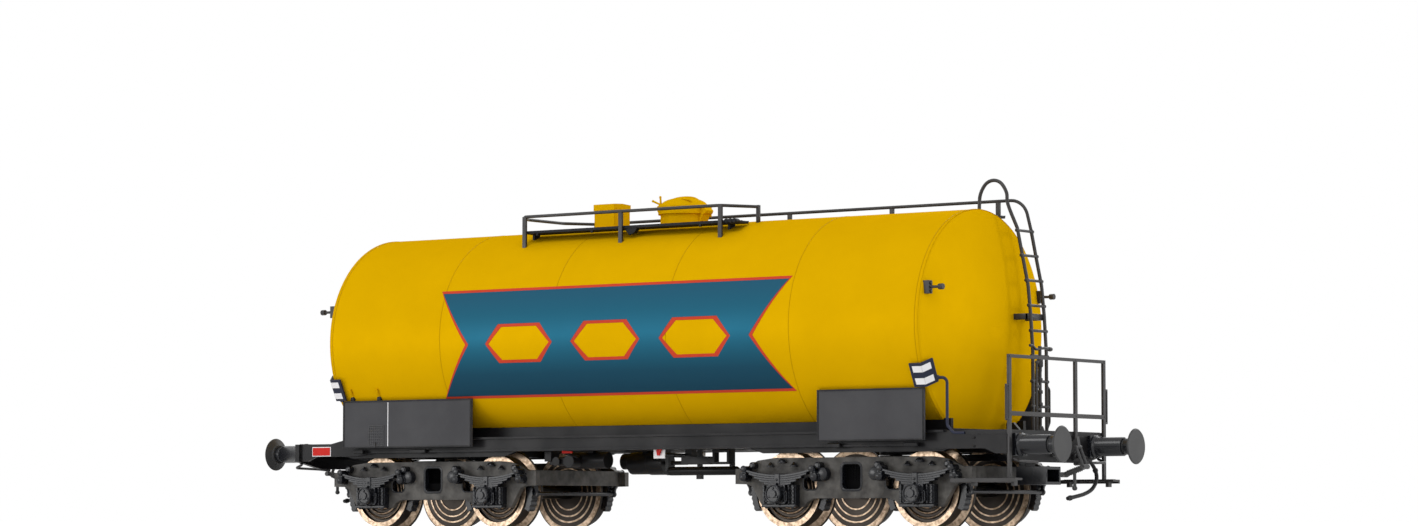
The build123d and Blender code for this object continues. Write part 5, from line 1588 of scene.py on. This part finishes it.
    def fixings(self) -> None:
        """The solebars' bolts, lower flanges and pads, the closing plates and the vessel by the rigging."""
        shape = Shape()
        for z in (12.15, 13.3):
            shape.bolt((58.82, -12.7, z), (0.0, -1.0, 0.0), 0.2, 0.14, 10)
        for start, end in ((-56.0, -21.0), (21.0, 56.0)):
            slope = [(start, 12.3), (start + 2.5, 11.5), (end - 2.5, 11.5), (end, 12.3)]
            shape.prism([(x, -12.25, z) for x, z in slope], (0.0, 0.55, 0.0))
        for x in (36.4, 49.2):
            self._pad(shape, x - 1.1, x + 1.1)
        shape.copy(HALF_TURN)
        for start, end, side in ((-52.0, -50.0, -1), (-40.6, -37.6, -1), (50.0, 52.0, 1), (37.6, 40.6, 1)):
            self._pad(shape, start, end, side)
        for start, end, low in ((52.9, 57.1, 13.15), (-61.0, -55.1, 12.95)):
            shape.box((start, -12.2, low), (end, 12.2, low + 0.25), 0.05)
        vessel = [(0.0, 0.35), (0.15, 0.55), (0.4, 0.64), (12.3, 0.64), (12.6, 0.5), (12.7, 0.3)]
        shape.solid(vessel, (0.1, -3.0, 9.25), AHEAD, 24)
        self.car.fit(shape, "solebar_fixings", Slot.FRAME)

    def build(self) -> None:
        """Makes the trim of both sides."""
        self.boards()
        self.markers()
        self.plates()
        self.levers()
        self.fixings()


@dataclass
class Bogie:
    """One bogie's leaf springs, brake gear and small fittings."""

    car: Car
    name: str
    centre: float
    half_base: float = HALF_BASE
    axle_z: float = AXLE_Z
    frame_out: float = 11.4
    frame_in: float = 10.5
    tread: float = 5.35
    leaves: int = 6
    leaf_half: float = 5.8
    leaf_thick: float = 0.27
    eye_z: float = 3.0
    sag: float = 0.85
    leaf_y: float = 12.0
    leaf_deep: float = 0.95
    beam_reach: float = 6.95
    beam_level: float = -0.3
    cover_level: float = -0.55
    cover_y: float = 14.05
    loop_y: float = 13.3
    flange_y: float = 13.15
    guide_y: float = 12.72
    beam_end: float = 17.9

    @property
    def body(self) -> str:
        """The body that all of its pieces ride on."""
        return f"bogie_{self.name}"

    def _at_ends(self, shape: Shape) -> None:
        """Copies what was drawn at one axle end to all four.

        Args:
            shape: what was drawn, with the bogie's middle towards +X.
        """
        shape.copy(FLIP_Y)
        bmesh.ops.translate(shape.mesh, verts=shape.mesh.verts[:], vec=(-self.half_base, 0.0, 0.0))
        shape.copy(FLIP_X)

    def _place(self, shape: Shape) -> None:
        """Moves a bogie drawn about its own centre at axle level to its place."""
        bmesh.ops.translate(shape.mesh, verts=shape.mesh.verts[:], vec=(self.centre, 0.0, self.axle_z))

    def springs(self) -> None:
        """Bowed leaf springs with buckles, eyes, shackles and conical stops."""
        shape = Shape()
        y, deep = self.leaf_y, self.leaf_deep
        top_z = self.eye_z - self.sag
        step = self.leaf_thick + 0.03
        for i in range(self.leaves):
            half = self.leaf_half * (1 - i / (self.leaves + 0.6))
            top = top_z - i * step
            share = half / self.leaf_half
            curve = [(-half + half * k / 8, top + self.sag * (share * (k / 8 - 1)) ** 2) for k in range(17)]
            outline = curve + [(x, z - self.leaf_thick) for x, z in reversed(curve)]
            inset = 0.02 * (i % 2)
            shape.prism([(x, y + inset, z) for x, z in outline], (0.0, deep - 2 * inset, 0.0))
        low = top_z - self.leaves * step
        shape.box((-0.45, self.frame_out, low - 0.1), (0.45, y + deep + 0.16, top_z + 0.16), 0.08)
        shape.box((-0.3, self.frame_out, 0.5), (0.3, y + deep - 0.1, low), 0.05)
        shape.bolt((0.0, y + deep + 0.16, top_z - 0.7), ACROSS, 0.2, 0.12)
        dome = [(0.0, 0.0), (0.0, 0.7), (0.16, 0.7), (0.2, 0.58), (0.42, 0.48), (0.58, 0.26), (0.62, 0.0)]
        cone = [(0.0, 0.0), (0.0, 0.56), (0.14, 0.56), (0.2, 0.44), (0.62, 0.12), (0.66, 0.0)]
        for x, rise, stop in ((-2.0, 0.0, cone), (0.0, 0.5, dome), (2.0, 0.0, cone)):
            shape.turned(stop, (x, self.frame_out + 0.3, self.eye_z + 0.3 + rise), UP, 14)
        for way in SIDES:
            eye = way * self.leaf_half
            foot = eye + 0.25 * way
            pin = [(0.0, 0.42), (1.55, 0.42), (1.6, 0.5), (1.72, 0.46), (1.8, 0.25)]
            shape.solid(pin, (eye, self.frame_out, self.eye_z), ACROSS, 16)
            knob = [(0.0, 0.66), (1.25, 0.66), (1.5, 0.58), (1.68, 0.3)]
            shape.solid(knob, (foot, self.frame_out, self.eye_z - 1.15), ACROSS, 18)
            link = [(eye - 0.36, 0.2), (eye + 0.36, 0.2), (foot + 0.4, -1.2), (foot - 0.4, -1.2)]
            shape.prism([(x, self.frame_out + 0.9, self.eye_z + z) for x, z in link], (0.0, 0.5, 0.0))
            if way > 0:
                drum = [(0.0, 0.95), (0.75, 0.95), (0.95, 0.84), (1.05, 0.55)]
                shape.solid(drum, (eye + 1.35, self.frame_out, self.eye_z - 0.75), ACROSS, 20)
                shape.solid([(0.0, 0.5), (1.1, 0.5), (1.3, 0.3)],
                             (eye + 0.7, self.frame_out, self.eye_z + 0.42), ACROSS, 16)
            else:
                shape.solid([(0.0, 0.5), (0.9, 0.48), (1.1, 0.25)],
                             (eye + 1.0, self.frame_out, self.eye_z + 0.5), ACROSS, 16)
        self._at_ends(shape)
        self._place(shape)
        piece = self.car.fit(shape, f"leaf_springs_{self.name}", Slot.BOGIE, body=self.body)
        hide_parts(f"bogie_springs_{self.name}")

    def _shoe(self, shape: Shape, axle_x: float, toward: int) -> None:
        """Adds one brake shoe with its backing ribs, on the far side of the bogie.

        Args:
            shape: where it is added.
            axle_x: the axle's place along the bogie.
            toward: the side of the wheel, +1 or -1.
        """
        inner, outer, steps = self.tread + 0.28, self.tread + 1.1, 12
        angles = [math.radians(13.0 - 40.0 * i / steps) for i in range(steps + 1)]
        low, high = 8.6, 10.0
        arc = [(inner, angle) for angle in angles]
        arc += [(outer + 0.14 * (i % 2), angle) for i, angle in reversed(list(enumerate(angles)))]
        outline = [(axle_x + toward * r * math.cos(a), low, r * math.sin(a)) for r, a in arc]
        shape.prism(outline, (0.0, high - low, 0.0))

    def brakes(self) -> None:
        """Brake shoes beside every wheel, their hangers, and a beam across each pair."""
        shape = Shape()
        level = self.beam_level
        for end in SIDES:
            axle_x = end * self.half_base
            for toward in SIDES:
                self._shoe(shape, axle_x, toward)
                x = axle_x + toward * self.beam_reach
                shape.tube([(x, -9.2, level), (x, 9.2, level)], 0.3, 10)
                shape.tube([(x, 9.3, level - 0.4), (x, 9.6, level + 0.8), (x, 10.6, 1.5)], 0.32, 8)
                shape.bolt((x, 9.2, level), ACROSS, 0.45, 0.5, 12)
        shape.copy(FLIP_Y)
        self._place(shape)
        piece = self.car.fit(shape, f"brake_gear_{self.name}", Slot.BOGIE, body=self.body)
        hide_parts(f"bogie_brakes_{self.name}")

    def _rim(self, shape: Shape, centre: float, half: Flat, level: float, radius: float, trim: float) -> None:
        """Adds a rounded frame round a window of the far side frame.

        Args:
            shape: where it is added.
            centre: the window's middle along the bogie.
            half: half of its clear width and height.
            level: the height of its middle.
            radius: the clear opening's corner radius.
            trim: the frame's width.
        """
        def loop(grow: float, y: float) -> list[Point]:
            """The points round a rectangle with arcs for corners.

            Args:
                grow: how far it lies outside the clear opening.
                y: how far out it lies.

            Returns:
                The points, in order.
            """
            bend = radius + grow * 0.5
            wide, high = half[0] + grow - bend, half[1] + grow - bend
            points = []
            for i, (sx, sz) in enumerate(((1, 1), (-1, 1), (-1, -1), (1, -1))):
                for k in range(7):
                    angle = math.radians(90.0 * i + 15.0 * k)
                    points.append((centre + sx * wide + bend * math.cos(angle), y,
                                   level + sz * high + bend * math.sin(angle)))
            return points

        out = self.frame_out
        back = self.frame_in + 0.05
        rows = [loop(trim, out - 0.05), loop(trim, out + 0.04), loop(0.12, out + 0.09), loop(0.0, out + 0.02),
                loop(0.0, back), loop(trim, back)]
        shape.grid(rows, close_rows=True, close_columns=True)

    def fittings(self) -> None:
        """Cover rims, keep bars, nuts, wire loops, window frames, rivets, and dark blocks of painted shade at
        the transom's ends behind the centre windows.
        """
        shape = Shape()
        cover = [(-0.05, 1.02), (0.1, 1.06), (0.16, 1.16), (0.1, 1.28), (-0.05, 1.3)]
        shape.turned(cover, (0.0, self.cover_y, self.cover_level), ACROSS, 32)
        for x, z in around((0.0, self.cover_level), 0.8, 90.0, 3):
            shape.bolt((x, self.cover_y, z), ACROSS, 0.17, 0.16, 10)
        for x, z in around((0.0, self.cover_level), 1.42, 0.0, 8):
            shape.bolt((x, self.flange_y, z), ACROSS, 0.17, 0.3)
        shape.box((-2.9, 11.5, -2.42), (2.9, 12.75, -1.95), 0.1)
        for x in (-2.2, 2.2):
            shape.bolt((x, 12.35, -2.4), (0.0, 0.0, -1.0), 0.26, 0.2)
        for x in (-2.45, -1.8, 1.8, 2.45):
            for z in (-1.55, -1.0, -0.45, 0.1, 0.55):
                shape.bolt((x, self.guide_y, z), ACROSS, 0.15, 0.12, 10)
        for x in (-1.62, 1.62):
            ring = [(-0.15, -1.6), (0.15, -1.6), (0.15, -0.2), (-0.15, -0.2), (-0.15, -1.6)]
            shape.tube(rounded([(x + dx, self.loop_y, z) for dx, z in ring], 0.12, 3), 0.1, 6)
        self._at_ends(shape)
        side = Shape()
        self._rim(side, 0.0, (1.5, 1.72), 1.83, 0.6, 0.34)
        for end in SIDES:
            self._rim(side, end * (self.half_base - 4.6), (1.12, 0.84), 0.95, 0.6, 0.2)
            for z in (1.3, 2.65):
                side.bolt((end * self.beam_end, self.frame_out, z), ACROSS, 0.16, 0.08, 10)
        side.copy(FLIP_Y)
        # Dark blocks of painted shade behind the centre windows, where only shadow shows.
        shade = Shape()
        shade.box((-2.4, 9.9, -0.35), (2.4, self.frame_in, 3.9), 0.1)
        shade.copy(FLIP_Y)
        self._place(shade)
        self.car.fit(shade, f"painted_window_shade_{self.name}", Slot.BOGIE, Paint.DEEP, body=self.body)
        shape.join(side)
        self._place(shape)
        self.car.fit(shape, f"bogie_fittings_{self.name}", Slot.BOGIE, body=self.body)

    def build(self) -> None:
        """Makes all of the bogie's pieces."""
        self.springs()
        self.brakes()
        self.fittings()


@dataclass
class Wheelset:
    """Turned rings on both faces of one wheelset's two wheels."""

    car: Car
    number: int
    axle_x: float
    axle_z: float = AXLE_Z

    def build(self) -> None:
        """Makes the sunk outer web with its ridges, and thin ridges on the back."""
        shape = Shape()
        web = [(9.4, 4.6), (9.62, 4.52), (9.6, 4.14), (9.86, 4.04), (9.94, 3.95), (9.86, 3.86), (9.6, 3.76),
               (9.6, 3.42), (9.84, 3.32), (9.9, 3.23), (9.84, 3.14), (9.6, 3.04), (9.6, 2.7), (9.82, 2.6),
               (9.88, 2.51), (9.82, 2.42), (9.6, 2.32), (9.62, 1.9), (9.98, 1.74), (10.06, 1.5), (10.06, 1.0),
               (9.9, 0.7), (9.4, 0.7)]
        back = [(7.25, 6.15), (7.14, 6.1), (7.14, 5.35), (7.25, 5.25), (7.25, 4.75), (7.1, 4.66), (7.1, 4.4),
                (7.25, 4.3), (7.25, 3.85), (7.1, 3.76), (7.1, 3.54), (7.25, 3.45), (7.25, 2.85), (7.1, 2.76),
                (7.1, 2.54), (7.25, 2.45), (7.4, 2.5), (7.4, 6.1)]
        for outline in (web, back):
            shape.turned(outline, (self.axle_x, 0.0, self.axle_z), ACROSS, 56)
        shape.copy(FLIP_Y)
        self.car.fit(shape, f"wheel_rings_{self.number}", Slot.WHEEL, body=f"wheelset_{self.number}")


def main() -> None:
    """Builds the studio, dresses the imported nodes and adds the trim."""
    logging.basicConfig(level=logging.INFO, format="%(message)s")
    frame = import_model()
    Studio().build()
    effects = Effects.make()
    materials = {slot: finish.build(effects) for slot, finish in finishes().items()}
    car = Car(frame["nodes"], materials)
    car.dress({row["node"]: row["material_slot"] for row in frame["record"]["subparts"]})
    for part in (Tank(car), Roof(car), Ladder(car), Platform(car), Ends(car), Sides(car)):
        part.build()
    axles = []
    for name, centre in (("left", -BOGIE_X), ("right", BOGIE_X)):
        Bogie(car, name, centre).build()
        axles += [centre - HALF_BASE, centre + HALF_BASE]
    for number, axle_x in enumerate(axles, 1):
        Wheelset(car, number, axle_x).build()


if __name__ == "__main__":
    main()
